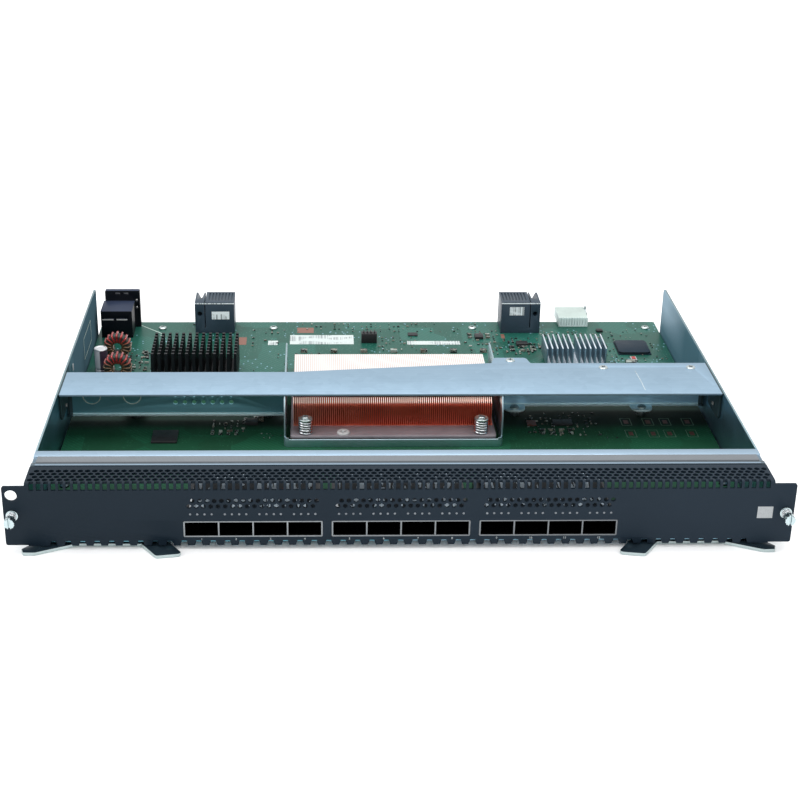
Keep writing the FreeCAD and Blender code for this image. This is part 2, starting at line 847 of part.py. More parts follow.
# ================================================================ rear connectors
def make_plane_connector(centre, guide_side):
    """Backplane receptacle with a keyed guide block at one end."""
    half = plane_width / 2
    rear = plane_front + plane_depth
    top = board_top + plane_height
    split = centre + guide_side * (half - guide_width)
    outer = centre + guide_side * half
    inner = centre - guide_side * half
    body = block(min(inner, split), max(inner, split), plane_front, rear, board_top, top)
    guide = block(min(split, outer), max(split, outer), plane_front, rear, board_top, top - 0.4)
    cuts = []
    grooves = 8
    for index in range(grooves):
        x = inner + guide_side * (1.8 + index * 2.3)
        cuts.append(centred_block(x, plane_front + 12, top - 1.0, 1.1, 15, 2))
    groove_x = split
    cuts.append(centred_block(groove_x, plane_front + plane_depth / 2, board_top + 4, 0.7,
                              plane_depth + 2, plane_height))
    middle = (split + outer) / 2
    notch = plate_xz([
        (middle - 3.0, top + 1, 0), (middle + 3.0, top + 1, 0), (middle, top - 5, 0)],
        plane_front + 9, plane_depth)
    cuts.append(notch)
    cuts.append(along_y(middle, plane_front - 1, board_top + 15, 1.8, 9))
    return fused([body, guide]).cut(Part.makeCompound(cuts))


def make_signal_connector():
    """Low receptacle that overhangs the board's rear edge, ribbed at the front."""
    x0 = signal_x - signal_width / 2
    body = block(x0, x0 + signal_width, signal_front, signal_front + signal_depth,
                 board_top, board_top + signal_height)
    grooves = [centred_block(x0 + 1.9 + index * 1.98, signal_front, board_top + 1, 0.8, 2.4,
                             signal_height) for index in range(10)]
    throat = block(x0 + 2, x0 + signal_width - 2, signal_front + 10,
                   signal_front + signal_depth + 1, board_top + 1.6, board_top + signal_height - 1.6)
    return body.cut(Part.makeCompound(grooves + [throat]))


def make_signal_clip():
    x = signal_x + signal_width / 2
    foot = signal_front + 12
    return fused([
        block(x, x + 1.4, foot, foot + 9, board_top + 2, board_top + 6),
        block(x, x + 1.4, foot + 7, foot + 9, board_top + 6, board_top + signal_height + 1.6)])


def make_power_connector():
    """Power inlet: a slotted box in front of a taller mounting plate."""
    half = power_width / 2
    rear = power_front + power_depth
    box = block(power_x - half, power_x + half, power_front, rear, board_top,
                board_top + power_height)
    plate = plate_xz([
        (power_x - half + 1, board_top, 0),
        (power_x - half + 1 + power_plate_width, board_top, 0),
        (power_x - half + 1 + power_plate_width, board_top + power_plate_height, 1),
        (power_x - half + 1, board_top + power_plate_height, 1)], rear, power_plate_thickness)
    cuts = []
    for offset in (-4.6, 4.6):
        cuts.append(centred_block(power_x + offset, power_front, board_top + 14.5, 6.6, 4, 1.0))
    for offset in (-1.0, 5.0):
        cuts.append(centred_block(power_x + offset, rear + power_plate_thickness / 2,
                                  board_top + power_plate_height - 2.6, 3.4, 6, 1.2))
    for height in (15.0, 20.5):
        cuts.append(along_y(power_x + half + 1.4, rear - 1, board_top + height, 0.9, 8))
    return fused([box, plate]).cut(Part.makeCompound(cuts))


# ================================================================ board parts
def make_capacitor():
    """Electrolytic can with a crimped neck."""
    x = capacitor_insets[0] - half_board
    y = board_rear - capacitor_insets[1]
    neck = board_top + 1.8
    return fused([
        prism(x, y, board_top, neck, capacitor_radius, can_sides),
        prism(x, y, neck, neck + 1.4, capacitor_radius - 0.5, can_sides),
        prism(x, y, neck + 1.4, board_top + capacitor_height, capacitor_radius, can_sides)])


def make_choke_cores():
    cores = []
    for x, y in choke_places:
        centre_z = board_top + choke_radius + choke_lift
        front = y - choke_width / 2
        ring = prism_along_y(x, front, centre_z, choke_radius, choke_width, can_sides)
        cores.append(ring.cut(prism_along_y(x, front - 1, centre_z, choke_bore,
                                            choke_width + 2, can_sides)))
    return Part.makeCompound(cores)


def make_choke_windings():
    """Flat copper loops round each ring, spread over the upper three quarters."""
    loops = []
    wire = choke_wire
    for x, y in choke_places:
        centre_z = board_top + choke_radius + choke_lift
        bore = choke_bore * math.cos(math.pi / can_sides) - 0.2
        inner = bore - wire
        outer = choke_radius + wire
        for index in range(choke_turns):
            turn = -35 + index * 250 / (choke_turns - 1)
            frame = block(x + inner, x + outer, y - choke_width / 2 - wire,
                          y + choke_width / 2 + wire, centre_z - 0.9, centre_z + 0.9)
            frame = frame.cut(block(x + bore, x + choke_radius, y - choke_width / 2,
                                    y + choke_width / 2, centre_z - 2, centre_z + 2))
            frame.rotate(Vector(x, y, centre_z), Vector(0, 1, 0), -turn)
            loops.append(frame)
    return Part.makeCompound(loops)


def make_pin_header():
    x, y = header_x, board_rear - header_inset
    pieces = [centred_block(x, y, board_top, 11, 5.2, 7.0)]
    for column in range(4):
        pieces.append(centred_block(x + (column - 1.5) * 2.54, y, board_top + 7.0, 0.8, 3.4, 1.6))
    return fused(pieces)


def make_passives():
    """Surface-mount parts: one row behind the main heatsink, and clusters by each chip."""
    parts = []
    for index in range(7):
        x = header_x + (index - 2.2) * row_pitch
        parts.append(centred_block(x, board_rear - row_inset, board_top, 4.6, 3.2, 2.2))
    for x, y, columns, rows, step, size in (
            (92, board_rear - 55, 4, 2, 7.5, 3.6), (-166, board_rear - 67, 2, 3, 6.0, 2.6),
            (-112, bar_front + 12, 4, 2, 5.0, 2.2), (96, bar_front + 12, 4, 2, 6.0, 2.4),
            (64, board_rear - 31, 3, 2, 6.5, 3.0)):
        for column in range(columns):
            for row in range(rows):
                parts.append(centred_block(x + column * step, y + row * step * 0.8, board_top,
                                           size, size * 0.6, 1.2))
    parts.append(centred_block(half_board - 32, board_rear - 79, board_top, 6.2, 4.6, 2.6))
    return Part.makeCompound(parts)


# ================================================================ ejector levers
def lever_corners():
    """Plan of the right-hand lever: hub, jaw outboard, arm and slanted paddle inboard."""
    return [
        (pivot_x + 4.5, pivot_y + 7.0, 5.0),
        (pivot_x - 12.0, pivot_y + 7.0, 6.0),
        (pivot_x - arm_reach, pivot_y + 1.0, 0),
        (pivot_x - arm_reach - 10.4, pivot_y - 6.3, 0),
        (pivot_x - paddle_reach, pivot_y - 18.5, 2.0),
        (pivot_x - paddle_reach + paddle_width, pivot_y - 20.9, 2.0),
        (pivot_x - arm_reach + 5.2, pivot_y - 7.5, 0),
        (pivot_x - 8.0, pivot_y - 7.1, 0),
        (pivot_x + jaw_reach - 7.8, pivot_y - 16.9, 1.5),
        (pivot_x + jaw_reach - 1.4, pivot_y - 16.9, 0),
        (pivot_x + jaw_reach, pivot_y - 12.7, 0)]


def make_lever(side):
    plate = plate_xy(lever_corners(), 0, lever_sheet)
    bore = upright(pivot_x, pivot_y, -1, pivot_radius + lever_clearance, lever_sheet + 2)
    recess = prism(pivot_x, pivot_y, -1, pivot_head + lever_clearance,
                   pivot_head_radius + 0.4, head_sides)
    return mirrored(plate.cut([bore, recess]), side)


def mirrored(shape, side):
    return shape if side > 0 else shape.mirror(Vector(0, 0, 0), Vector(1, 0, 0))


def make_pivot(side):
    """Shoulder rivet through the lever, its spacer and the raised front floor."""
    lower = prism(pivot_x, pivot_y, 0, pivot_head, pivot_head_radius, head_sides)
    floor = lift_front + tray_sheet
    shank = upright(pivot_x, pivot_y, pivot_head, pivot_radius, floor - pivot_head)
    upper = prism(pivot_x, pivot_y, floor, floor + pivot_head, pivot_head_radius, head_sides)
    return mirrored(fused([lower, shank, upper]), side)


def make_spacer(side):
    ring = prism(pivot_x, pivot_y, lever_sheet + lever_clearance, lift_front,
                 pivot_radius + 2.1, head_sides)
    return mirrored(ring.cut(upright(pivot_x, pivot_y, 0, pivot_radius, lift_front + 1)), side)


# ================================================================ thumbscrews
def make_ferrule(side):
    """Flanged bush pressed into the ear."""
    x = side * thumb_x
    lip = prism_along_y(x, -ferrule_lip, thumb_z, ferrule_radius, ferrule_lip, head_sides)
    sleeve = prism_along_y(x, 0, thumb_z, ferrule_radius - 0.8, panel_sheet + 1.0, head_sides)
    bore = along_y(x, -3, thumb_z, thumb_shaft + thumb_clearance, 10)
    return lip.fuse(sleeve).cut(bore)


def washer_rear():
    return -thumb_reach + thumb_head + thumb_washer


def make_thumb_washer(side):
    x = side * thumb_x
    ring = prism_along_y(x, washer_rear() - thumb_washer, thumb_z, thumb_radius - 0.2,
                         thumb_washer, head_sides)
    return ring.cut(along_y(x, -20, thumb_z, thumb_shaft + thumb_clearance, 30))


def knurled_grip(x):
    """Twelve-lobed grip, its valleys set in from the head's radius."""
    lobes = 12
    points = []
    for index in range(2 * lobes):
        radius = thumb_radius if index % 2 else thumb_radius - 0.35
        angle = math.pi * index / lobes
        points.append(Vector(x + radius * math.cos(angle), -thumb_reach,
                             thumb_z + radius * math.sin(angle)))
    return Part.Face(Part.makePolygon(points + [points[0]])).extrude(Vector(0, thumb_head, 0))


def make_thumb_screw(side):
    """Slotted knurled head on a shank that reaches through the ear."""
    x = side * thumb_x
    head = knurled_grip(x)
    slot = block(x - 0.5, x + 0.5, -thumb_reach - 1, -thumb_reach + 1.3, thumb_z - 4, thumb_z + 4)
    shank = along_y(x, -thumb_reach + thumb_head, thumb_z, thumb_shaft, 10.0)
    return head.cut(slot).fuse(shank)


def make_thumb_spring(side):
    length = -ferrule_lip - washer_rear()
    start = Vector(side * thumb_x, washer_rear(), thumb_z)
    return coil(start, Vector(0, 1, 0), length, thumb_radius - 0.6, thumb_spring_wire,
                thumb_spring_turns)


# ================================================================ files
def build_nodes():
    nodes = {
        "faceplate": make_faceplate(),
        "tray": make_tray(),
        "top_rail": make_top_rail(),
        "rail_gasket": make_gasket(),
        "crossbar": make_crossbar(),
        "crossbar_posts": make_bar_posts(),
        "crossbar_spacers": make_bar_spacers(),
        "crossbar_screws": make_bar_screws(),
        "air_duct": make_duct(),
        "main_board": make_board(),
        "board_standoffs": make_standoffs(),
        "board_screws": make_board_screws(),
        "port_connectors": make_port_connectors(),
        "cage_heatsinks": make_cage_heatsinks(),
        "switch_chip": make_switch_chip(),
        "heatsink_base": make_heatsink_base(),
        "heatsink_fins": make_heatsink_fins(),
        "heatsink_screws": make_sink_screws(),
        "heatsink_springs": make_sink_springs(),
        "heatsink_rivet": make_sink_rivets(),
        "pin_heatsink": make_pin_sink(),
        "pin_heatsink_chip": make_pin_sink_chip(),
        "fin_heatsink": make_fin_sink(),
        "fin_heatsink_chip": make_fin_sink_chip(),
        "control_chip": make_control_chip(),
        "front_chip": make_front_chip(),
        "backplane_connector_left": make_plane_connector(plane_left_x, -1),
        "backplane_connector_right": make_plane_connector(plane_right_x, 1),
        "signal_connector": make_signal_connector(),
        "signal_clip": make_signal_clip(),
        "power_connector": make_power_connector(),
        "bulk_capacitor": make_capacitor(),
        "choke_cores": make_choke_cores(),
        "choke_windings": make_choke_windings(),
        "pin_header": make_pin_header(),
        "surface_parts": make_passives()}
    for name, centre in zip(cage_names, cage_centres):
        nodes["port_cage_" + name] = make_cage(centre)
        nodes["light_guide_" + name] = make_light_guide(centre)
    for name, side in (("left", -1), ("right", 1)):
        nodes[name + "_lever"] = make_lever(side)
        nodes[name + "_lever_pivot"] = make_pivot(side)
        nodes[name + "_lever_spacer"] = make_spacer(side)
        nodes[name + "_thumb_ferrule"] = make_ferrule(side)
        nodes[name + "_thumb_washer"] = make_thumb_washer(side)
        nodes[name + "_thumb_screw"] = make_thumb_screw(side)
        nodes[name + "_thumb_spring"] = make_thumb_spring(side)
    return nodes


os.makedirs("parts", exist_ok=True)
for node, shape in build_nodes().items():
    shape.translate(origin_shift)
    shape.exportStep("parts/" + node + ".step")
print("origin shift", origin_shift.y)
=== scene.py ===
import math

import bmesh
import bpy
from mathutils import Matrix, Vector


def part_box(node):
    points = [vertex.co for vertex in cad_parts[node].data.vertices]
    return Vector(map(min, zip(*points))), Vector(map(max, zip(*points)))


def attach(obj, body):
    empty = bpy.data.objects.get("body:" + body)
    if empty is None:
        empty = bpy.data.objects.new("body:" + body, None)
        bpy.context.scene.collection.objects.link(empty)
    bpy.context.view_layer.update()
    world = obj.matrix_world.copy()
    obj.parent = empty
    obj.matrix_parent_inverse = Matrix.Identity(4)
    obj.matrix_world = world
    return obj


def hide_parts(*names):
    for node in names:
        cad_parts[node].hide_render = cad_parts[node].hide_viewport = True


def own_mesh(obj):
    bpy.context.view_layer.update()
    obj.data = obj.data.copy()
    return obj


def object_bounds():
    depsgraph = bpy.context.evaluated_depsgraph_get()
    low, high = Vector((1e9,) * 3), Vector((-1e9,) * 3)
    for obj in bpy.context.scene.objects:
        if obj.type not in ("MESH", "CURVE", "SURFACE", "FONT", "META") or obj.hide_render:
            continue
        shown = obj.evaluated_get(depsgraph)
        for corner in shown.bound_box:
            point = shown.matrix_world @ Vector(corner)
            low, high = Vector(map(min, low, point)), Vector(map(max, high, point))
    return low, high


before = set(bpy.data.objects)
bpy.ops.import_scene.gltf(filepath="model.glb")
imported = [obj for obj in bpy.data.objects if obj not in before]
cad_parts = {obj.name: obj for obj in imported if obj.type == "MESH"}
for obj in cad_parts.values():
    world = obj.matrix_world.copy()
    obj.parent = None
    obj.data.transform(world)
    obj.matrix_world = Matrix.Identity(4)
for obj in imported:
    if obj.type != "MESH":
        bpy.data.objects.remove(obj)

cadBox = [list(corner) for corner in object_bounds()]
mm = 0.001
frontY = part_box("faceplate")[0].y
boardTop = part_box("main_board")[1].z / mm
finCount = 98                  # the painted sheen on the copper's tops follows the fins' pitch
print("frame loaded")


def spot(x, y, z):
    # millimetres from the card's middle, the front face and the plane that it stands on
    return Vector((x * mm, frontY + y * mm, z * mm))


class Flow:
    # one output socket that can stand in an expression
    def __init__(self, tree, socket):
        self.tree = tree
        self.socket = socket

    def maths(self, operation, first, second):
        return self.tree.add("ShaderNodeMath", {"operation": operation}, {0: first, 1: second})

    def __add__(self, other):
        return self.maths("ADD", self, other)

    def __radd__(self, other):
        return self.maths("ADD", other, self)

    def __sub__(self, other):
        return self.maths("SUBTRACT", self, other)

    def __rsub__(self, other):
        return self.maths("SUBTRACT", other, self)

    def __mul__(self, other):
        return self.maths("MULTIPLY", self, other)

    def __rmul__(self, other):
        return self.maths("MULTIPLY", other, self)

    def __mod__(self, other):
        return self.maths("FLOORED_MODULO", self, other)

    def __gt__(self, other):
        return self.maths("GREATER_THAN", self, other)

    def __lt__(self, other):
        return self.maths("LESS_THAN", self, other)


class Tree:
    def __init__(self, nodeTree):
        self.nodeTree = nodeTree

    def add(self, kind, settings=None, values=None, out=0):
        node = self.nodeTree.nodes.new(kind)
        for name, value in (settings or {}).items():
            if name == "stops":
                self.setStops(node.color_ramp, value)
            else:
                setattr(node, name, value)
        self.feed(node, values or {})
        return Flow(self, node.outputs[out])

    def setStops(self, ramp, stops):
        while len(ramp.elements) < len(stops):
            ramp.elements.new(0.5)
        for element, (position, colour) in zip(ramp.elements, stops):
            element.position = position
            element.color = (*colour, 1)

    def feed(self, node, values):
        for key, value in values.items():
            socket = node.inputs[key]
            if not isinstance(key, int):
                socket = next(s for s in node.inputs if s.name == key and s.enabled)
            if isinstance(value, Flow):
                self.nodeTree.links.new(value.socket, socket)
            elif socket.type == "RGBA" and len(value) == 3:
                socket.default_value = (*value, 1)
            else:
                socket.default_value = value


# finishes: each reads Object coordinates, in metres from the card's origin

class Finish:
    def __init__(self, name):
        self.material = bpy.data.materials.new(name)
        self.material.use_nodes = True
        self.tree = Tree(self.material.node_tree)
        self.shader = self.material.node_tree.nodes["Principled BSDF"]
        self.point = self.tree.add("ShaderNodeTexCoord", out="Object")

    def set(self, **values):
        named = {name.replace("_", " "): value for name, value in values.items()}
        self.tree.feed(self.shader, named)
        return self.material

    def stretch(self, scale, shift=(0, 0, 0)):
        values = {"Vector": self.point, "Scale": scale, "Location": shift}
        return self.tree.add("ShaderNodeMapping", {}, values, out="Vector")

    def noise(self, scale, detail=2.0, rough=0.5, where=None):
        values = {"Vector": where or self.point, "Scale": scale, "Detail": detail, "Roughness": rough}
        return self.tree.add("ShaderNodeTexNoise", {}, values)

    def streaks(self, scale, detail=3, rough=0.6, shift=(0, 0, 0)):
        # noise drawn out along the axis that has the smallest scale
        return self.noise(1.0, detail, rough, self.stretch(scale, shift))

    def cells(self, scale, out="Distance", metric="EUCLIDEAN", even=1.0):
        values = {"Vector": self.point, "Scale": scale, "Randomness": even}
        return self.tree.add("ShaderNodeTexVoronoi", {"distance": metric}, values, out=out)

    def patches(self, scale, metric="EUCLIDEAN"):
        # one random level for each cell
        return self.axes(self.cells(scale, "Color", metric))[0]

    def waves(self, direction, scale, distortion=0.0):
        values = {"Vector": self.point, "Scale": scale, "Distortion": distortion}
        return self.tree.add("ShaderNodeTexWave", {"bands_direction": direction}, values)

    def ramp(self, value, stops, kind="LINEAR"):
        made = self.tree.add("ShaderNodeValToRGB", {"stops": stops}, {"Fac": value}, out="Color")
        made.socket.node.color_ramp.interpolation = kind
        return made

    def between(self, value, first, last, low=0.3, high=0.7):
        return self.ramp(value, [(low, first), (high, last)])

    def shades(self, value, tint, dark, pale, low=0.3, high=0.7):
        # one tint, times dark at the low end and times pale at the high end
        ends = [[min(1, channel * share) for channel in tint] for share in (dark, pale)]
        return self.between(value, *ends, low, high)

    def level(self, value, low, high, floor=0.0, top=1.0):
        values = {"Value": value, "From Min": low, "From Max": high, "To Min": floor, "To Max": top}
        return self.tree.add("ShaderNodeMapRange", {"clamp": True}, values)

    def wear(self, noise, floor, top):
        # noise stays near its middle, so the outer thirds are cut off
        return self.level(noise, 0.3, 0.7, floor, top)

    def behind(self, near, far):
        # 0 to 1 from near to far, in millimetres behind the front face
        return self.level(self.axes()[1], frontY + near * mm, frontY + far * mm)

    def blend(self, amount, first, second, mode="MIX"):
        settings = {"data_type": "RGBA", "blend_type": mode}
        values = {"Factor": amount, "A": first, "B": second}
        made = self.tree.add("ShaderNodeMix", settings, values)
        return Flow(self.tree, next(s for s in made.socket.node.outputs if s.enabled))

    def axes(self, where=None):
        parts = self.tree.add("ShaderNodeSeparateXYZ", {}, {"Vector": where or self.point})
        return [Flow(self.tree, socket) for socket in parts.socket.node.outputs]

    def rise(self, height, strength, depth):
        values = {"Height": height, "Strength": strength, "Distance": depth * mm}
        return self.tree.add("ShaderNodeBump", {}, values, out="Normal")


def sideEnds(x, low, high, reach):
    return (x < low.x + reach * mm) + (x > high.x - reach * mm)


def zincSheet(name="zincSheet", tint=(0.33, 0.44, 0.54), rough=0.40, streak=(30, 900, 900),
              change=None, metal=None, gloss=0.5):
    finish = Finish(name)
    rolled = finish.streaks(streak)
    tone = finish.noise(22, 4, 0.6) * 0.6 + rolled * 0.28 + finish.patches(150) * 0.12
    colour = finish.shades(tone, tint, 0.88, 1.10, 0.25, 0.75)
    if change:
        colour = change(finish, colour)
    fine = finish.noise(2600, 2, 0.6)
    return finish.set(
        Base_Color=colour, Metallic=metal(finish) if metal else 1.0, Specular_IOR_Level=gloss,
        Roughness=finish.wear(tone, rough + 0.07, rough - 0.06),
        Normal=finish.rise(fine * 0.6 + rolled * 0.4, 0.12, 0.2))


def railLip(finish, colour):
    # painted shade: the rail's front lip is darkened where it lies in the gasket's shade, but for its rolled
    # edge
    x, y, z = finish.axes()
    low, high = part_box("rail_gasket")
    shade = (y < low.y) * (y > low.y - 1.8 * mm)
    tinted = finish.blend(shade * 0.6, colour, (0.06, 0.07, 0.08))
    tinted = finish.blend(y < low.y - 3.0 * mm, tinted, (0.012, 0.020, 0.028))
    # painted shade at both ends of the rail, beyond the gasket
    ends = ((x < low.x) + (x > high.x)) * (y < high.y)
    tinted = finish.blend(ends * 0.6, tinted, (0.05, 0.07, 0.08))
    # painted shade: the rail is darker below its top edge
    upper = finish.level(z, high.z - 3.0 * mm, high.z - 1.6 * mm)
    return finish.blend(upper, (0.10, 0.13, 0.15), tinted)


def barWeb(finish, colour):
    # painted reflection: a greener cast low on the bar, where it mirrors the board, darker towards the left
    x, y, z = finish.axes()
    low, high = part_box("crossbar")
    upper = finish.level(z, high.z - 2.4 * mm, high.z - 1.0 * mm)
    foot = finish.level(z, low.z + 2.1 * mm, low.z + 1.2 * mm)
    web = finish.blend(finish.level(x, -60 * mm, 90 * mm), (0.18, 0.40, 0.46), (0.48, 0.74, 0.92))
    # painted highlight on the foot tabs, which sit in shadow
    web = finish.blend(foot, web, (0.80, 0.95, 0.96))
    # painted shade near both ends of the bar, darkest at the very ends
    web = finish.blend(sideEnds(x, low, high, 3.0), web, (0.11, 0.17, 0.19))
    whole = finish.blend(upper, web, colour)
    return finish.blend(sideEnds(x, low, high, 0.9), whole, (0.06, 0.09, 0.10))


wallRim = 0.4                  # how far the walls' upper edge and outer skin reach in


def innerSide(x, outer):
    return (x < outer - wallRim * mm) * (x > wallRim * mm - outer)


def wallDeep(finish, colour):
    # painted reflection: the walls mirror the dark bay in front and the pale room behind
    x, y, z = finish.axes()
    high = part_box("tray")[1]
    right = x > 0
    back = finish.blend(right, (0.062, 0.118, 0.148), (0.060, 0.130, 0.165))
    bay = finish.blend(right, (0.150, 0.360, 0.440), (0.23, 0.40, 0.50))
    deep = finish.blend(finish.behind(150, 185), bay, back)
    sky = finish.behind(225, 285) * finish.level(z, 12 * mm, 30 * mm) * right
    deep = finish.blend(sky, deep, (0.25, 0.36, 0.44))
    # painted reflection, darker at the rear end of the walls
    edge = finish.blend(right, (0.025, 0.030, 0.040), (0.10, 0.13, 0.15))
    deep = finish.blend(finish.behind(296, 306), deep, edge)
    deep = finish.blend(innerSide(x, high.x), colour, deep)
    # painted shade on the walls' top edge beside the top rail
    rim = finish.blend(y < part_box("top_rail")[1].y, colour, (0.07, 0.10, 0.12))
    return finish.blend(z > high.z - wallRim * mm, deep, rim)


def wallMetal(finish):
    # the rear of each wall is duller, so the pale room doesn't wash it out
    x, y, z = finish.axes()
    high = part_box("tray")[1]
    dull = finish.behind(160, 185) * innerSide(x, high.x) * (z < high.z - wallRim * mm)
    return 1 - dull * (1 - (x > 0) * 0.15)


def ductLip(finish, colour):
    # painted light: the low lip is painted brighter, as if it takes light off the board; the sides stay
    # greyer
    z = finish.axes()[2]
    return finish.blend(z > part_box("air_duct")[0].z + 5 * mm, colour, (0.40, 0.53, 0.58))


def shadedFront(finish, colour):
    # screws in the shade of the faceplate and the rail
    return finish.blend(finish.behind(110, 80), colour, (0.03, 0.04, 0.045))


def blackPaint():
    finish = Finish("blackPowderCoat")
    x = finish.axes()[0]
    grain = finish.noise(1900, 3, 0.65)
    across = finish.noise(14, 3, 0.6) * 0.5 + finish.level(x, -200 * mm, 200 * mm) * 0.5
    return finish.set(
        Base_Color=finish.between(across, (0.0055, 0.0125, 0.0205), (0.0100, 0.0190, 0.0300), 0.25, 0.75),
        Roughness=finish.wear(grain, 0.46, 0.60), Specular_IOR_Level=0.14,
        Normal=finish.rise(grain, 0.35, 0.12))


def steelBright(name, tint, rough, change=None):
    finish = Finish(name)
    grain = finish.noise(1500, 3, 0.6)
    colour = finish.shades(grain, tint, 0.82, 1.0)
    if change:
        colour = change(finish, colour)
    return finish.set(
        Base_Color=colour, Metallic=1.0, Roughness=finish.wear(grain, rough - 0.06, rough + 0.08),
        Normal=finish.rise(grain, 0.2, 0.08))


def foamStrip():
    finish = Finish("gasketWeave")
    weave = finish.waves("X", 420, 0.4) * 0.5 + finish.waves("Y", 420, 0.4) * 0.5
    fluff = finish.noise(160, 4, 0.6)
    colour = finish.between(weave * 0.5 + fluff * 0.5, (0.125, 0.138, 0.150), (0.185, 0.200, 0.215))
    return finish.set(
        # painted shade along the gasket's front edge
        Base_Color=finish.blend(finish.behind(26.2, 25.2) * 0.6, colour, (0.05, 0.055, 0.06)),
        Roughness=finish.wear(fluff, 0.62, 0.8), Metallic=0.25, Normal=finish.rise(weave, 0.5, 0.2))


def boardMask():
    # planes, tracks and vias under the green mask, with painted light behind the crossbar and painted shade
    # under it and towards the front
    finish = Finish("solderMask")
    planes = finish.patches(34, "CHEBYCHEV")
    black, white = (0, 0, 0), (1, 1, 1)
    lanes = finish.tree.add("ShaderNodeTexBrick", {}, {
        "Vector": finish.point, "Scale": 160, "Mortar Size": 0.012, "Color1": black, "Color2": black,
        "Mortar": white, "Brick Width": 2.4, "Row Height": 0.16}, out="Fac")
    fan = finish.level(finish.waves("DIAGONAL", 190), 0.55, 0.75)
    tracks = fan * (planes > 0.62) + lanes * (planes < 0.35)
    vias = (finish.cells(420, even=0.55) < 0.17) * (finish.noise(60) > 0.5)
    cloud = finish.noise(30, 4, 0.6)
    base = finish.ramp(planes * 0.5 + cloud * 0.5, [
        (0.2, (0.010, 0.070, 0.034)), (0.5, (0.016, 0.092, 0.048)), (0.85, (0.022, 0.115, 0.062))])
    copper = finish.blend(tracks * 0.55, base, (0.040, 0.165, 0.095))
    marked = finish.blend(vias * 0.7, copper, (0.16, 0.22, 0.14))
    ink = (finish.cells(300, metric="CHEBYCHEV") < 0.14) * (finish.noise(48) > 0.57)
    rear = finish.behind(172, 215)
    printAndLight = finish.blend(ink * 0.75 * rear, marked, (0.55, 0.62, 0.58))
    # painted light: paler towards the rear behind the crossbar, darker towards the front
    cast = finish.blend(rear, (0.14, 0.56, 0.46), (0.52, 0.78, 1.08))
    printAndLight = finish.blend(1.0, printAndLight, cast, "MULTIPLY")
    # painted shade under the crossbar
    underBarShade = finish.behind(134, 143) * (finish.axes()[1] < frontY + 172 * mm)
    printAndLight = finish.blend(underBarShade * 0.9, printAndLight, (0.001, 0.008, 0.006))
    # painted shade towards the front, under the faceplate and rail
    printAndLight = finish.blend(finish.behind(75, 50) * 0.62, printAndLight, (0.001, 0.006, 0.004))
    return finish.set(
        Base_Color=printAndLight, Roughness=finish.wear(cloud, 0.30, 0.42) + (1 - rear) * 0.45,
        Specular_IOR_Level=0.27, Normal=finish.rise(tracks * 0.6 + vias * 0.4, 0.25, 0.1))


def finCopper():
    finish = Finish("finCopper")
    x, y, z = finish.axes()
    low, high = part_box("heatsink_fins")
    noseEnd = low.y + 4.2 * mm                                  # the fins' rounded front corners
    stain = finish.noise(60, 4, 0.65)
    heatTintAndLight = finish.between(stain, (0.80, 0.115, 0.060), (0.92, 0.190, 0.110))
    left = finish.level(x, low.x + 28 * mm, low.x)
    heatTintAndLight = finish.blend(left * 0.5, heatTintAndLight, (0.95, 0.40, 0.28))
    # painted highlight on the fins' rounded front corners
    nose = finish.level(z, high.z - 3.4 * mm, high.z - 2.6 * mm) * (y < noseEnd)
    heatTintAndLight = finish.blend(nose, heatTintAndLight, (1.0, 0.74, 0.60))
    # painted shade: a dark strip on the tops in front of the crossbar
    foldShade = (z > high.z - 1.7 * mm) * (y > noseEnd) * (y < low.y + 12 * mm)
    heatTintAndLight = finish.blend(foldShade, heatTintAndLight, (0.30, 0.05, 0.03))
    # painted sheen: pale fin tops behind the crossbar, with dark lines between the fins
    sheenReach = finish.level(y, low.y + 12 * mm, low.y + 30 * mm)
    crown = finish.level(z, high.z - 1.2 * mm, high.z - 0.6 * mm) * sheenReach
    pitch = (high.x - low.x) / finCount
    along = (x - low.x) % pitch
    seam = (along < pitch * 0.30) + (along > pitch * 0.70)
    paintedSheen = finish.blend(seam, (0.52, 0.42, 0.39), (0.74, 0.71, 0.68))
    return finish.set(
        Base_Color=finish.blend(crown, heatTintAndLight, paintedSheen),
        Metallic=finish.level(nose + crown, 0, 1, 0.60, 0.15),
        Emission_Color=finish.blend(nose, (0, 0, 0), (1.05, 0.74, 0.64)),     # painted light: the nose glows in place of the front light
        Emission_Strength=0.9,
        Roughness=finish.wear(stain, 0.30, 0.44), Normal=finish.rise(stain, 0.1, 0.2))


def wireCopper():
    # wound bright on top, in the shade of its neighbours lower down
    finish = Finish("enamelWire")
    z = finish.axes()[2]
    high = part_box("choke_windings")[1]
    haze = finish.noise(400, 3, 0.6)
    colour = finish.between(haze, (0.25, 0.014, 0.016), (0.36, 0.040, 0.034), 0.35, 0.65)
    lower = finish.level(z, high.z - 4.0 * mm, high.z - 7.0 * mm)
    return finish.set(
        Base_Color=finish.blend(lower * 0.85, colour, (0.085, 0.072, 0.030)), Metallic=0.45,
        Roughness=finish.wear(haze, 0.22, 0.36), Coat_Weight=0.4)


def moulded(name, tint, rough=0.5, lift=1.35):
    finish = Finish(name)
    fine = finish.noise(1800, 3, 0.6)
    cloud = finish.noise(70, 3, 0.6)
    return finish.set(
        Base_Color=finish.shades(cloud * 0.6 + fine * 0.4, tint, 1.0, lift, 0.35, 0.7),
        Roughness=finish.wear(cloud, rough - 0.07, rough + 0.07),
        Specular_IOR_Level=0.4, Normal=finish.rise(fine, 0.22, 0.1))


def anodised(name, tint, rough, metal):
    finish = Finish(name)
    brushed = finish.streaks((1400, 60, 60))
    return finish.set(
        Base_Color=finish.shades(finish.noise(120, 3, 0.6), tint, 1.0, 1.25), Metallic=metal,
        Roughness=finish.wear(brushed, rough - 0.06, rough + 0.08), Normal=finish.rise(brushed, 0.12, 0.1))


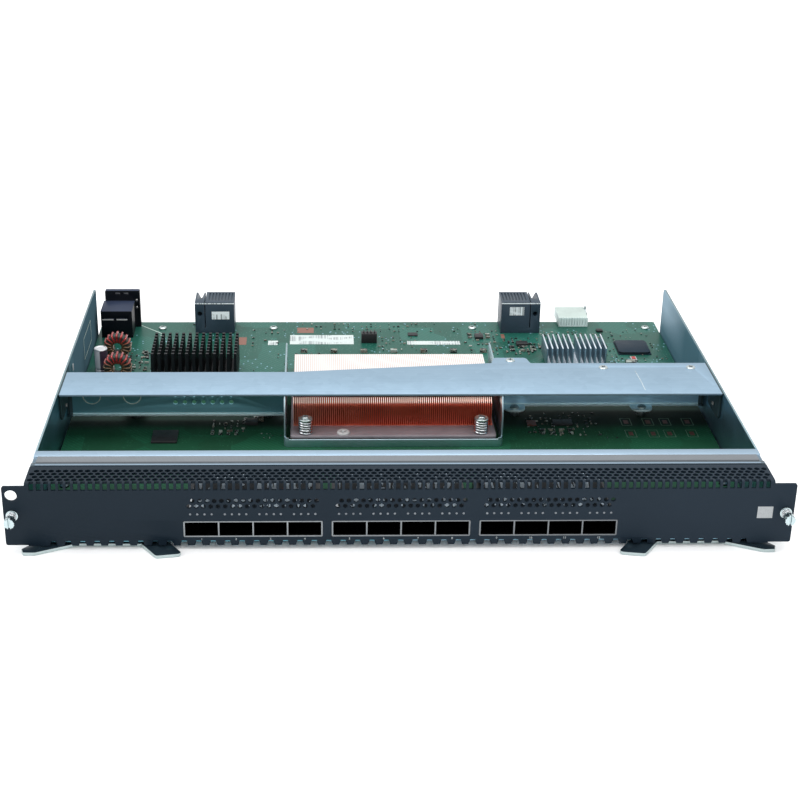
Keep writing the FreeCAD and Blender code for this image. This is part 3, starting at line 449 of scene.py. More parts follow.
def riderSink():
    # painted glints: bright streaks on dark fins and clips, that show as specks through the vents
    finish = Finish("cageSinkAluminium")
    speck = finish.streaks((330, 60, 60), 2)
    dim, lit = 0.50, 0.57
    return finish.set(
        Base_Color=finish.between(speck, (0.040, 0.046, 0.055), (0.92, 0.96, 1.0), dim, lit),
        Metallic=finish.level(speck, dim, lit, 0.3, 0.75), Roughness=finish.level(speck, dim, lit, 0.6, 0.3))


def cageNickel():
    # bright lips round an inside painted dark as shade, darker towards the right
    finish = Finish("cageNickel")
    x = finish.axes()[0]
    grain = finish.noise(900, 3, 0.6)
    bright = finish.between(grain, (0.20, 0.215, 0.23), (0.27, 0.29, 0.30))
    bright = finish.blend(finish.level(x, -50 * mm, 90 * mm) * 0.6, bright, (0.12, 0.13, 0.14))
    # painted shade inside the cage, behind its front lips
    return finish.set(
        Base_Color=finish.blend(finish.behind(0.2, 0.9), bright, (0.035, 0.036, 0.038)), Metallic=1.0,
        Roughness=finish.wear(grain, 0.26, 0.38), Normal=finish.rise(grain, 0.1, 0.1))


def canSleeve():
    # a dark sleeve with one pale band, and the bare lid
    finish = Finish("capacitorSleeve")
    x, y, z = finish.axes()
    low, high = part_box("bulk_capacitor")
    band = (x < (low.x + high.x) / 2 - 0.2 * mm) * (x > low.x + 0.6 * mm)
    lid = z > high.z - 0.9 * mm
    haze = finish.noise(300, 3, 0.6)
    sleeve = finish.between(haze, (0.035, 0.022, 0.038), (0.060, 0.038, 0.062))
    banded = finish.blend(band, sleeve, (0.52, 0.52, 0.56))
    return finish.set(
        Base_Color=finish.blend(lid, banded, (0.72, 0.72, 0.74)), Metallic=lid * 0.9,
        Roughness=finish.wear(haze, 0.28, 0.4), Normal=finish.rise(haze, 0.1, 0.1))


def paperLabel(name, dark, pale):
    # faint bars and lines of print that can't be read
    finish = Finish(name)
    fibre = finish.noise(900, 4, 0.6)
    bars = finish.streaks((900, 0, 0), 1, 0.5)
    rows = finish.streaks((60, 160, 160), 1, 0.5, shift=(3, 1, 5))
    faint = (bars > 0.50) * finish.level(rows, 0.47, 0.54) * 0.75
    return finish.set(
        Base_Color=finish.blend(faint, finish.between(fibre, dark, pale), (0.16, 0.18, 0.19)),
        Roughness=finish.wear(fibre, 0.42, 0.55), Normal=finish.rise(fibre, 0.1, 0.05))


def lampLens():
    finish = Finish("lampLens")
    haze = finish.noise(700, 2, 0.6)
    return finish.set(Base_Color=finish.between(haze, (0.10, 0.115, 0.13), (0.18, 0.20, 0.22)),
                      Roughness=finish.wear(haze, 0.20, 0.34), Coat_Weight=0.15)


def guideBar():
    # smoked clear bars with a few painted glints inside
    finish = Finish("guideBar")
    haze = finish.noise(260, 3, 0.6)
    glint = finish.cells(150) < 0.20
    upright = finish.streaks((420, 40, 60), 1, 0.5) > 0.58
    dull = finish.between(haze, (0.003, 0.007, 0.011), (0.008, 0.015, 0.022), 0.35, 0.65)
    lit = finish.level(glint + upright, 0, 1) * 0.8
    return finish.set(Base_Color=finish.blend(lit, dull, (0.62, 0.74, 0.84)),
                      Roughness=finish.wear(haze, 0.34, 0.48), Specular_IOR_Level=0.08)


def topTone(name, crown, side, rough, metal=0.0, gloss=0.4):
    # painted light and shade: a darker or lighter tone on the faces that look up, for how light falls on
    # tops and sides
    finish = Finish(name)
    facing = finish.tree.add("ShaderNodeNewGeometry", out="Normal")
    up = finish.level(finish.axes(facing)[2], 0.75, 0.95)
    fine = finish.noise(1300, 3, 0.6)
    cloud = finish.noise(45, 3, 0.6)
    tone = cloud * 0.6 + fine * 0.4
    above = finish.shades(tone, crown, 0.85, 1.15, 0.35, 0.65)
    beside = finish.shades(tone, side, 0.88, 1.12, 0.35, 0.65)
    return finish.set(
        Base_Color=finish.blend(up, beside, above), Metallic=metal, Specular_IOR_Level=gloss,
        Roughness=finish.wear(cloud, rough - 0.06, rough + 0.07), Normal=finish.rise(fine, 0.15, 0.1))


def printInk(name, tint):
    finish = Finish(name)
    speck = finish.noise(1600, 3, 0.7)
    return finish.set(Base_Color=finish.shades(speck, tint, 0.8, 1.0, 0.3, 0.6),
                      Roughness=finish.wear(speck, 0.42, 0.6), Normal=finish.rise(speck, 0.1, 0.03))


def partMix():
    # small parts: tan and black bodies between tinned ends
    finish = Finish("smallPartMix")
    body = finish.ramp(finish.patches(330), [
        (0.0, (0.010, 0.012, 0.012)), (0.45, (0.075, 0.062, 0.045)), (0.62, (0.16, 0.16, 0.13)),
        (0.80, (0.012, 0.013, 0.015)), (0.9, (0.26, 0.30, 0.27))], "CONSTANT")
    grain = finish.noise(1500, 2, 0.6)
    tin = finish.cells(760, even=0.8) < 0.33
    return finish.set(
        Base_Color=finish.blend(tin, body, (0.34, 0.40, 0.37)), Metallic=tin * 0.7,
        Roughness=finish.wear(grain, 0.32, 0.52), Normal=finish.rise(grain, 0.12, 0.05))


finishes = {
    "zinc": zincSheet(change=railLip),
    "bar": zincSheet("crossbarZinc", (0.285, 0.390, 0.480), 0.60, change=barWeb),
    "wall": zincSheet("wallZinc", (0.24, 0.33, 0.355), 0.34, (900, 30, 900), wallDeep, wallMetal, 0.0),
    "lever": topTone("leverZinc", (0.022, 0.040, 0.055), (0.42, 0.50, 0.50), 0.36, 0.55),
    "duct": zincSheet("ductZinc", (0.62, 0.74, 0.90), 0.36, change=ductLip),
    "black": blackPaint(),
    "screw": steelBright("screwSteel", (0.58, 0.64, 0.64), 0.30),
    "boardScrew": steelBright("boardScrewSteel", (0.50, 0.57, 0.56), 0.34, shadedFront),
    "chrome": steelBright("thumbChrome", (0.50, 0.60, 0.62), 0.20),
    "coil": steelBright("springSteel", (0.66, 0.68, 0.70), 0.22),
    "foam": foamStrip(),
    "board": boardMask(),
    "copper": finCopper(),
    "wire": wireCopper(),
    "slate": topTone("slateConnector", (0.018, 0.034, 0.052), (0.023, 0.041, 0.060), 0.42),
    "beige": topTone("beigeConnector", (0.40, 0.47, 0.44), (0.50, 0.60, 0.585), 0.48),
    "inlet": topTone("inletPlastic", (0.022, 0.031, 0.058), (0.0025, 0.0035, 0.006), 0.36, gloss=0.18),
    "plug": moulded("blackReceptacle", (0.010, 0.011, 0.012)),
    "chip": topTone("chipEpoxy", (0.003, 0.014, 0.026), (0.006, 0.010, 0.014), 0.44, gloss=0.15),
    "ferrite": moulded("ferriteCore", (0.020, 0.032, 0.028), 0.6),
    "passive": partMix(),
    "pins": anodised("blackAnodised", (0.008, 0.009, 0.011), 0.40, 0.5),
    "finned": topTone("finAluminium", (0.66, 0.71, 0.76), (0.22, 0.32, 0.38), 0.34, 0.8),
    "plinth": anodised("sinkPlate", (0.25, 0.225, 0.245), 0.42, 0.35),
    "dull": moulded("rolledAluminium", (0.40, 0.40, 0.40), 0.36, lift=1.2),
    "cage": cageNickel(),
    "rider": riderSink(),
    "can": canSleeve(),
    "label": paperLabel("labelPaper", (0.44, 0.50, 0.49), (0.52, 0.57, 0.56)),
    "tag": paperLabel("tagPaper", (0.74, 0.80, 0.82), (0.84, 0.90, 0.92)),
    "lens": lampLens(),
    "guide": guideBar(),
    "ink": printInk("printInk", (0.42, 0.46, 0.47)),
    "silk": printInk("silkInk", (0.50, 0.62, 0.56)),
    "outline": printInk("padOutline", (0.085, 0.155, 0.105)),
    "padBrown": printInk("barePad", (0.19, 0.085, 0.060)),
    # painted shade: a darker copy of the bare pad colour, for the pads and the red chip under the crossbar
    "padFront": printInk("shadedPad", (0.085, 0.030, 0.022)),
    "redPart": printInk("redPart", (0.36, 0.035, 0.030)),
    "blank": printInk("blankSticker", (0.34, 0.36, 0.37)),
}
print("finishes made", len(finishes))


# building helpers

weldGap = 0.004 * mm
smoothAngle = 32               # degrees: faces that meet more gently are shaded as one
bevelAngle = 35
flatAngle = 0.5


def link(name, data):
    piece = bpy.data.objects.new(name, data)
    bpy.context.collection.objects.link(piece)
    return piece


def blankPiece(name):
    return link(name, bpy.data.meshes.new(name))


def poured(work, name):
    mesh = bpy.data.meshes.new(name)
    work.to_mesh(mesh)
    work.free()
    return mesh


def merged(name, meshes):
    # several loose meshes as one piece
    work = bmesh.new()
    for mesh in meshes:
        work.from_mesh(mesh)
        bpy.data.meshes.remove(mesh)
    return link(name, poured(work, name))


def discard(piece):
    mesh = piece.data
    bpy.data.objects.remove(piece)
    if mesh.users == 0:
        bpy.data.meshes.remove(mesh)


def foot(low, high):
    return Vector(((low.x + high.x) / 2, (low.y + high.y) / 2, low.z))


def settle(piece, finish, node, body="card", takesOver=True):
    # hands the piece to the frame and, if it takes over, puts it in the node's place
    mesh = piece.data
    mesh.materials.clear()
    mesh.materials.append(finishes[finish])
    for face in mesh.polygons:
        face.material_index = 0
    mesh.shade_smooth()
    mesh.set_sharp_from_angle(angle=math.radians(smoothAngle))
    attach(piece, body)
    if takesOver:
        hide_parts(node)


def evaluated(piece):
    graph = bpy.context.evaluated_depsgraph_get()
    return bpy.data.meshes.new_from_object(piece.evaluated_get(graph))


def baked(piece):
    # the evaluated mesh, with no modifier left on it
    mesh = evaluated(piece)
    old = piece.data
    piece.modifiers.clear()
    piece.data = mesh
    if old.users == 0:
        bpy.data.meshes.remove(old)
    return piece


def curveMesh(curve):
    holder = link("holder", curve)
    mesh = evaluated(holder)
    bpy.data.objects.remove(holder)
    return mesh


def welded(node):
    work = bmesh.new()
    work.from_mesh(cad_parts[node].data)
    bmesh.ops.remove_doubles(work, verts=work.verts, dist=weldGap)
    return work


def cleanMesh(node):
    work = welded(node)
    flat = math.radians(flatAngle)
    bmesh.ops.dissolve_limit(work, angle_limit=flat, verts=work.verts, edges=work.edges)
    return poured(work, node + "Copy")


def islands(node):
    # the low and high corner of each loose part of a CAD node
    work = welded(node)
    seen = set()
    found = []
    for vert in work.verts:
        if vert in seen:
            continue
        pile = [vert]
        seen.add(vert)
        group = []
        while pile:
            one = pile.pop()
            group.append(one.co.copy())
            for edge in one.link_edges:
                other = edge.other_vert(one)
                if other not in seen:
                    seen.add(other)
                    pile.append(other)
        found.append([Vector([pick(co[axis] for co in group) for axis in range(3)]) for pick in (min, max)])
    work.free()
    return found


def softened(piece, width, steps=2):
    edge = piece.modifiers.new("edge", "BEVEL")
    edge.width = width * mm
    edge.segments = steps
    edge.limit_method = "ANGLE"
    edge.angle_limit = math.radians(bevelAngle)
    edge.use_clamp_overlap = True
    return baked(piece)


class Recipe(Tree):
    # a Geometry Nodes tree with named sizes, run on one piece
    kinds = {float: "NodeSocketFloat", int: "NodeSocketInt", bpy.types.Object: "NodeSocketObject"}

    def __init__(self, name, sizes):
        group = bpy.data.node_groups.new(name, "GeometryNodeTree")
        super().__init__(group)
        group.interface.new_socket("Geometry", in_out="INPUT", socket_type="NodeSocketGeometry")
        group.interface.new_socket("Geometry", in_out="OUTPUT", socket_type="NodeSocketGeometry")
        self.sizes = sizes
        self.keys = {}
        for label, value in sizes.items():
            kind = next(kind for sort, kind in self.kinds.items() if isinstance(value, sort))
            self.keys[label] = group.interface.new_socket(label, in_out="INPUT", socket_type=kind).identifier
        self.start = group.nodes.new("NodeGroupInput")
        self.stop = group.nodes.new("NodeGroupOutput")

    def size(self, label):
        return Flow(self, self.start.outputs[label])

    def base(self):
        return self.size("Geometry")

    def index(self):
        return self.add("GeometryNodeInputIndex")

    def vector(self, x=0.0, y=0.0, z=0.0):
        return self.add("ShaderNodeCombineXYZ", {}, {0: x, 1: y, 2: z})

    def random(self, low, high, seed, kind="FLOAT"):
        out = {"FLOAT": 1, "INT": 2}[kind]
        values = {"Min": low, "Max": high, "Seed": seed}
        return self.add("FunctionNodeRandomValue", {"data_type": kind}, values, out)

    def cube(self, size):
        return self.add("GeometryNodeMeshCube", {}, {"Size": size})

    def grid(self, wide, deep, columns, rows):
        values = {"Size X": wide, "Size Y": deep, "Vertices X": columns, "Vertices Y": rows}
        return self.add("GeometryNodeMeshGrid", {}, values)

    def line(self, count, start, step):
        values = {"Count": count, "Start Location": self.vector(start), "Offset": self.vector(step)}
        return self.add("GeometryNodeMeshLine", {"mode": "OFFSET"}, values)

    def pipe(self, path, radius, sides, caps=False):
        ring = self.add("GeometryNodeCurvePrimitiveCircle", {}, {"Resolution": sides, "Radius": radius})
        values = {"Curve": path, "Profile Curve": ring, "Fill Caps": caps}
        return self.add("GeometryNodeCurveToMesh", {}, values)

    def staggered(self, grid, rows, pitch):
        # every other row moves by half a pitch
        shift = ((self.index() % rows) % 2) * pitch * 0.5 - pitch * 0.25
        return self.add("GeometryNodeSetPosition", {}, {"Geometry": grid, "Offset": self.vector(shift)})

    def moved(self, shape, place=(0, 0, 0), turn=(0, 0, 0), scale=(1, 1, 1)):
        values = {"Geometry": shape, "Translation": place, "Rotation": turn, "Scale": scale}
        return self.add("GeometryNodeTransform", {}, values)

    def joined(self, shapes):
        made = self.add("GeometryNodeJoinGeometry")
        for shape in reversed(shapes):
            self.nodeTree.links.new(shape.socket, made.socket.node.inputs[0])
        return made

    def spread(self, points, shape, turn=(0, 0, 0), scale=(1, 1, 1)):
        values = {"Points": points, "Instance": shape, "Rotation": turn, "Scale": scale}
        made = self.add("GeometryNodeInstanceOnPoints", {}, values)
        return self.add("GeometryNodeRealizeInstances", {}, {0: made})

    def cut(self, body, tools):
        values = {"Mesh 1": body, "Mesh 2": tools}
        return self.add("GeometryNodeMeshBoolean", {"operation": "DIFFERENCE", "solver": "MANIFOLD"}, values)

    def run(self, piece, shape, finish):
        whole = self.add("GeometryNodeRealizeInstances", {}, {0: shape})
        done = self.add("GeometryNodeSetMaterial", {}, {"Geometry": whole, "Material": finishes[finish]})
        self.nodeTree.links.new(done.socket, self.stop.inputs[0])
        made = piece.modifiers.new("recipe", "NODES")
        made.node_group = self.nodeTree
        for label, value in self.sizes.items():
            made[self.keys[label]] = value
        return baked(piece)


def boxMesh(work, low, high):
    corners = [[(low, high)[bit >> axis & 1][axis] for axis in range(3)] for bit in range(8)]
    verts = [work.verts.new(co) for co in corners]
    for face in ((0, 2, 3, 1), (4, 5, 7, 6), (0, 1, 5, 4), (2, 6, 7, 3), (0, 4, 6, 2), (1, 3, 7, 5)):
        work.faces.new([verts[index] for index in face])


def prism(work, lower, upper):
    # closed between two rings of points that run the same way round
    rings = [[work.verts.new(co) for co in ring] for ring in (lower, upper)]
    for index in range(len(lower)):
        after = (index + 1) % len(lower)
        work.faces.new([rings[0][index], rings[0][after], rings[1][after], rings[1][index]])
    work.faces.new(rings[1])
    work.faces.new(list(reversed(rings[0])))


def boxes(name, spans, base=0.0):
    # closed blocks from (x0, x1, y0, y1, z0, z1) in millimetres, with z counted from the base
    work = bmesh.new()
    for x0, x1, y0, y1, z0, z1 in spans:
        boxMesh(work, spot(x0, y0, base + z0), spot(x1, y1, base + z1))
    return link(name, poured(work, name))


def turned(name, outline, steps):
    # a solid of revolution round Z from (radius, height) pairs in millimetres, bottom to top
    work = bmesh.new()
    verts = [work.verts.new((radius * mm, 0, height * mm)) for radius, height in outline]
    edges = [work.edges.new(pair) for pair in zip(verts, verts[1:])]
    bmesh.ops.spin(work, geom=verts + edges, cent=(0, 0, 0), axis=(0, 0, 1), angle=2 * math.pi,
                   steps=steps, use_duplicate=False)
    bmesh.ops.remove_doubles(work, verts=work.verts, dist=weldGap / 2)
    bmesh.ops.recalc_face_normals(work, faces=work.faces)
    return link(name, poured(work, name))


# sheet metal and solid pieces with soft edges

softEdges = {                  # CAD node: finish, edge in mm and, where it isn't the card, its body
    "tray": ("wall", 0.25), "top_rail": ("zinc", 0.3), "crossbar": ("bar", 0.25),
    "air_duct": ("duct", 0.3), "heatsink_base": ("plinth", 0.3), "rail_gasket": ("foam", 0.25),
    "fin_heatsink": ("finned", 0.15), "control_chip": ("chip", 0.2), "front_chip": ("plug", 0.25),
    "signal_connector": ("beige", 0.2), "signal_clip": ("screw", 0.15), "power_connector": ("inlet", 0.35),
    "pin_header": ("plug", 0.12), "port_connectors": ("plug", 0.15),
    "crossbar_posts": ("screw", 0.15), "crossbar_spacers": ("screw", 0.15)}
for side in ("left", "right"):
    softEdges.update({
        "backplane_connector_" + side: ("slate", 0.3),
        side + "_lever": ("lever", 0.35, side + "_lever"),
        side + "_thumb_screw": ("chrome", 0.15, side + "_thumb"),
        side + "_thumb_washer": ("chrome", 0.1, side + "_thumb_slide"),
        side + "_thumb_ferrule": ("chrome", 0.15)})


def camel(node):
    first, *rest = node.split("_")
    return first + "".join(word.capitalize() for word in rest)


for node, (finish, width, *body) in softEdges.items():
    piece = softened(link(camel(node), cleanMesh(node)), width)
    settle(piece, finish, node, *body)
print("edges softened", len(softEdges))


# faceplate

face = {
    "pitch": 4.0, "across": 3.0, "portAcross": 2.5, "cutDeep": 4, "edge": 0.2,
    "columns": 102, "rows": 4, "rowStep": 3.46, "firstRow": 4.4, "flangeHigh": 40.6,
    "slotWide": 2.5, "slotDeep": 2.4, "slotAhead": 2, "slotLow": 36.9, "slotHigh": 43.5,
    "portColumns": 18, "portRowHigh": 30.3, "portRowLow": 26.9, "portRowDeep": 0.7, "portGroupPitch": 81.8}


def hexCutter(recipe, across):
    radius = across / math.sqrt(3) * mm
    return recipe.add("GeometryNodeMeshCylinder", {"fill_type": "NGON"},
                      {"Vertices": 6, "Radius": radius, "Depth": face["cutDeep"] * mm})


def makeFaceplate():
    recipe = Recipe("facePerforations", {
        "Columns": face["columns"], "Rows": face["rows"], "Pitch": face["pitch"] * mm,
        "Row Step": face["rowStep"] * mm, "Port Columns": face["portColumns"]})
    columns, rows, portColumns = [recipe.size(label) for label in ("Columns", "Rows", "Port Columns")]
    pitch, rowStep = recipe.size("Pitch"), recipe.size("Row Step")
    upright = (0, 0, math.pi / 6)                 # the hexagons stand on a corner

    field = recipe.grid((columns - 1) * pitch, (rows - 1) * rowStep, columns, rows)
    field = recipe.staggered(field, rows, pitch)
    field = recipe.spread(field, hexCutter(recipe, face["across"]), upright)
    rowMiddle = face["firstRow"] + (face["rows"] - 1) * face["rowStep"] / 2
    flange = recipe.moved(field, spot(0, rowMiddle, face["flangeHigh"]))

    tall = face["slotHigh"] - face["slotLow"]
    cutter = recipe.cube(Vector((face["slotWide"], face["slotDeep"] + face["slotAhead"], tall)) * mm)
    row = recipe.line(columns, (columns - 1) * pitch * -0.5, pitch)
    place = spot(0, (face["slotDeep"] - face["slotAhead"]) / 2, face["slotLow"] + tall / 2)
    slots = recipe.moved(recipe.spread(row, cutter), place)

    portHigh = (face["portRowHigh"] - face["portRowLow"]) * mm
    ports = recipe.staggered(recipe.grid((portColumns - 1) * pitch, portHigh, portColumns, 2), 2, pitch)
    ports = recipe.spread(ports, hexCutter(recipe, face["portAcross"]), upright)
    groups = []
    for group in (-1, 0, 1):
        middle = (face["portRowHigh"] + face["portRowLow"]) / 2
        place = spot(group * face["portGroupPitch"], face["portRowDeep"], middle)
        groups.append(recipe.moved(ports, place, (math.pi / 2, 0, 0)))

    punched = recipe.cut(recipe.base(), recipe.joined([flange, slots, *groups]))
    piece = softened(link("perforatedFaceplate", cleanMesh("faceplate")), face["edge"], 1)
    recipe.run(piece, punched, "black")
    settle(piece, "black", "faceplate")
    print("faceplate punched", len(piece.data.polygons))


makeFaceplate()


# main heatsink

fins = {"thick": 0.34, "round": 6.2, "roundSteps": 6, "lipDeep": 0.4}
rivet = [(0, 0), (4.0, 0), (4.0, 0.5), (3.5, 1.1), (2.6, 1.3), (1.7, 1.0), (1.5, 0.5),
         (1.2, 0.5), (1.1, 1.5), (0.7, 1.9), (0, 2.0)]


def oneFin(low, high, pitch):
    # drawn on its side with a rounded front corner, and folded over at top and bottom
    half, radius, lip = fins["thick"] * mm / 2, fins["round"] * mm, fins["lipDeep"] * mm
    outline = [(low.y, low.z), (high.y, low.z), (high.y, high.z)]
    midY, midZ = low.y + radius, high.z - radius
    for step in range(fins["roundSteps"] + 1):
        angle = math.pi / 2 * (1 + step / fins["roundSteps"])
        outline.append((midY + radius * math.cos(angle), midZ + radius * math.sin(angle)))
    work = bmesh.new()
    prism(work, [(-half, y, z) for y, z in outline], [(half, y, z) for y, z in outline])
    bmesh.ops.recalc_face_normals(work, faces=work.faces)
    boxMesh(work, (half, low.y + radius, high.z - lip), (pitch - half, high.y, high.z - lip / 4))
    boxMesh(work, (half, low.y, low.z + lip / 4), (pitch - half, high.y, low.z + lip))
    return link("foldedFins", poured(work, "fin"))


def makeFins():
    low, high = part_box("heatsink_fins")
    pitch = (high.x - low.x) / finCount
    recipe = Recipe("finStack", {"Fins": finCount, "Pitch": pitch})
    line = recipe.line(recipe.size("Fins"), low.x + pitch / 2, recipe.size("Pitch"))
    piece = oneFin(low, high, pitch)
    recipe.run(piece, recipe.spread(line, recipe.base()), "copper")
    settle(piece, "copper", "heatsink_fins")
    print("fins stacked", finCount)


def makeRivet():
    dome = turned("domedRivet", rivet, 40)
    dome.data.transform(Matrix.Translation(foot(*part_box("heatsink_rivet"))))
    settle(dome, "dull", "heatsink_rivet")


# springs

sinkSpring = {"radius": 4.4, "wire": 1.35, "rounds": 4.5}
thumbSpring = {"radius": 2.7, "wire": 0.45, "rounds": 4.5,
               "keep": 0.20}      # share of the length that is left when the screw is pressed


def coilSpring(name, coil, length, place):
    # round wire wound from z = 0 up, with closed ends, then laid in its place
    wire = coil["wire"]
    recipe = Recipe(name + "Recipe", {
        "Rounds": coil["rounds"], "Radius": (coil["radius"] - wire / 2) * mm, "Wire": wire / 2 * mm,
        "Length": length - wire * mm})
    path = recipe.add("GeometryNodeCurveSpiral", {}, {
        "Resolution": 26, "Rotations": recipe.size("Rounds"), "Start Radius": recipe.size("Radius"),
        "End Radius": recipe.size("Radius"), "Height": recipe.size("Length")})
    tube = recipe.pipe(path, recipe.size("Wire"), 10, True)
    piece = recipe.run(blankPiece(name), recipe.moved(tube, (0, 0, wire / 2 * mm)), "coil")
    piece.data.transform(place)
    work = bmesh.new()
    work.from_mesh(piece.data)
    bmesh.ops.recalc_face_normals(work, faces=work.faces)
    work.to_mesh(piece.data)
    work.free()
    return piece


def makeSprings():
    for index, (low, high) in enumerate(islands("heatsink_springs")):
        place = Matrix.Translation(foot(low, high))
        coil = coilSpring("sinkSpring%d" % (index + 1), sinkSpring, high.z - low.z, place)
        settle(coil, "coil", "heatsink_springs", takesOver=index > 0)
    for side in ("left", "right"):
        low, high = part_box(side + "_thumb_spring")
        start = Vector(((low.x + high.x) / 2, low.y, (low.z + high.z) / 2))
        place = Matrix.Translation(start) @ Matrix.Rotation(-math.pi / 2, 4, "X")
        coil = coilSpring(side + "ThumbSpring", thumbSpring, high.y - low.y, place)
        settle(coil, "coil", side + "_thumb_spring")
        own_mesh(coil)


# screws

screws = {"pan": [(0, 0), (2.9, 0), (2.95, 0.35), (2.75, 0.95), (2.2, 1.4), (1.3, 1.6), (0, 1.62)],
          "low": [(0, 0), (3.0, 0), (2.95, 0.25), (2.5, 0.7), (1.6, 0.88), (0, 0.9)],
          "panSeat": 1.6, "lowSeat": 0.9,         # from the screw's top down to the underside of its head
          "crossWide": 0.75, "crossLong": 3.0, "crossDeep": 0.9, "cutterHigh": 2}
sinkScrew = {"shank": 1.5, "flange": 4.4, "head": 2.3, "flangeDown": 2.8, "topDown": 0.5,
             "slotWide": 0.8, "slotLong": 7, "slotTurn": 0.9}


def headPiece(name, outline):
    head = turned(name, outline, 28)
    recipe = Recipe(name + "Cross", {"Wide": screws["crossWide"] * mm, "Long": screws["crossLong"] * mm})
    bar = recipe.cube(recipe.vector(recipe.size("Wide"), recipe.size("Long"), screws["cutterHigh"] * mm))
    place = (0, 0, (outline[-1][1] - screws["crossDeep"] + screws["cutterHigh"] / 2) * mm)
    once = recipe.cut(recipe.base(), recipe.moved(bar, place))
    crossed = recipe.cut(once, recipe.moved(bar, place, (0, 0, math.pi / 2)))
    return recipe.run(head, crossed, "screw")


def scatterHeads(name, kind, node, finish):
    # one head on each screw of the node, each turned its own way
    head = headPiece(kind + "Head", screws[kind])
    seat = screws[kind + "Seat"] * mm
    places = [((low.x + high.x) / 2, (low.y + high.y) / 2, high.z - seat) for low, high in islands(node)]
    base = blankPiece(name)
    base.data.from_pydata(places, [], [])
    recipe = Recipe(name + "Spread", {"Head": head, "Seed": 4})
    shape = recipe.add("GeometryNodeObjectInfo", {"transform_space": "ORIGINAL"},
                       {"Object": recipe.size("Head")}, out="Geometry")
    angle = recipe.random(0.0, 6.28, recipe.size("Seed"))
    recipe.run(base, recipe.spread(recipe.base(), shape, recipe.vector(0, 0, angle)), finish)
    settle(base, finish, node)
    discard(head)


def makeSinkScrews():
    # flanged caps that hold the springs, with a straight slot
    for index, (low, high) in enumerate(islands("heatsink_screws")):
        whole = (high.z - low.z) / mm
        top, flange = whole - sinkScrew["topDown"], whole - sinkScrew["flangeDown"]
        shank, wide, head = sinkScrew["shank"], sinkScrew["flange"], sinkScrew["head"]
        cap = turned("sinkScrew%d" % (index + 1), [
            (0, 0), (shank, 0), (shank, flange), (wide, flange), (wide, flange + 0.9),
            (wide - 0.3, flange + 1.2), (head + 0.1, flange + 1.25), (head, top - 0.4),
            (head - 0.4, top), (0, top)], 36)
        recipe = Recipe("driverSlot%d" % (index + 1), {"Wide": sinkScrew["slotWide"] * mm})
        size = recipe.vector(recipe.size("Wide"), sinkScrew["slotLong"] * mm, screws["cutterHigh"] * mm)
        bar = recipe.moved(recipe.cube(size), (0, 0, top * mm), (0, 0, sinkScrew["slotTurn"]))
        recipe.run(cap, recipe.cut(recipe.base(), bar), "screw")
        cap.data.transform(Matrix.Translation(foot(low, high)))
        settle(cap, "screw", "heatsink_screws", takesOver=index > 0)


# pin heatsink

pins = {"columns": 13, "rows": 8, "wide": 2.3, "tip": 1.9, "base": 2.4}


def makePins():
    low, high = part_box("pin_heatsink")
    wide, tip, base = [pins[key] * mm for key in ("wide", "tip", "base")]
    corners = ((-1, -1), (1, -1), (1, 1), (-1, 1))
    work = bmesh.new()
    prism(work, [(x * wide / 2, y * wide / 2, low.z + base) for x, y in corners],
          [(x * tip / 2, y * tip / 2, high.z) for x, y in corners])
    piece = link("pinFinHeatsink", poured(work, "pin"))
    recipe = Recipe("pinField", {"Columns": pins["columns"], "Rows": pins["rows"]})
    span = high - low
    grid = recipe.grid(span.x - wide, span.y - wide, recipe.size("Columns"), recipe.size("Rows"))
    centre = foot(low, high)
    field = recipe.spread(recipe.moved(grid, (centre.x, centre.y, 0)), recipe.base())
    plate = recipe.moved(recipe.cube((span.x, span.y, base)), (centre.x, centre.y, low.z + base / 2))
    recipe.run(piece, recipe.joined([field, plate]), "pins")
    settle(piece, "pins", "pin_heatsink")
    print("pins made")


# coils and capacitor by the inlet

choke = {"turns": 13, "wire": 1.5, "fan": 262, "start": -41, "bend": 1.1, "sunk": 0.15,
         "hole": 4.2, "holeEdge": 0.5, "rimEdge": 0.6}
can = {"bead": 2.5, "beadDeep": 0.5, "rim": 0.9, "lidDown": 0.25}


def coreOutline(inner, outer, half):
    hole, rim = choke["holeEdge"], choke["rimEdge"]
    return [(inner + hole, -half), (outer - rim, -half), (outer, rim - half), (outer, half - rim),
            (outer - rim, half), (inner + hole, half), (inner, half - hole), (inner, hole - half),
            (inner + hole, -half)]


def winding(name, inner, outer, half):
    # one rounded loop of wire round the core, repeated as a fan
    recipe = Recipe(name + "Recipe", {
        "Turns": choke["turns"], "Wire": choke["wire"] / 2 * mm,
        "Step": math.radians(choke["fan"] / (choke["turns"] - 1)), "Start": math.radians(choke["start"])})
    gap = choke["wire"] / 2 - choke["sunk"]
    path = recipe.add("GeometryNodeCurvePrimitiveQuadrilateral", {}, {
        "Width": (outer - inner + 2 * gap) * mm, "Height": (2 * half + 2 * gap) * mm})
    path = recipe.add("GeometryNodeFilletCurve", {"mode": "POLY"}, {
        "Curve": path, "Count": 3, "Radius": choke["bend"] * mm, "Limit Radius": True})
    tube = recipe.pipe(path, recipe.size("Wire"), 8)
    tube = recipe.moved(tube, ((outer + inner) / 2 * mm, 0, 0), (math.pi / 2, 0, 0))
    points = recipe.add("GeometryNodePoints", {}, {"Count": recipe.size("Turns")})
    angle = recipe.index() * recipe.size("Step") + recipe.size("Start")
    return recipe.run(blankPiece(name), recipe.spread(points, tube, recipe.vector(0, 0, angle)), "wire")


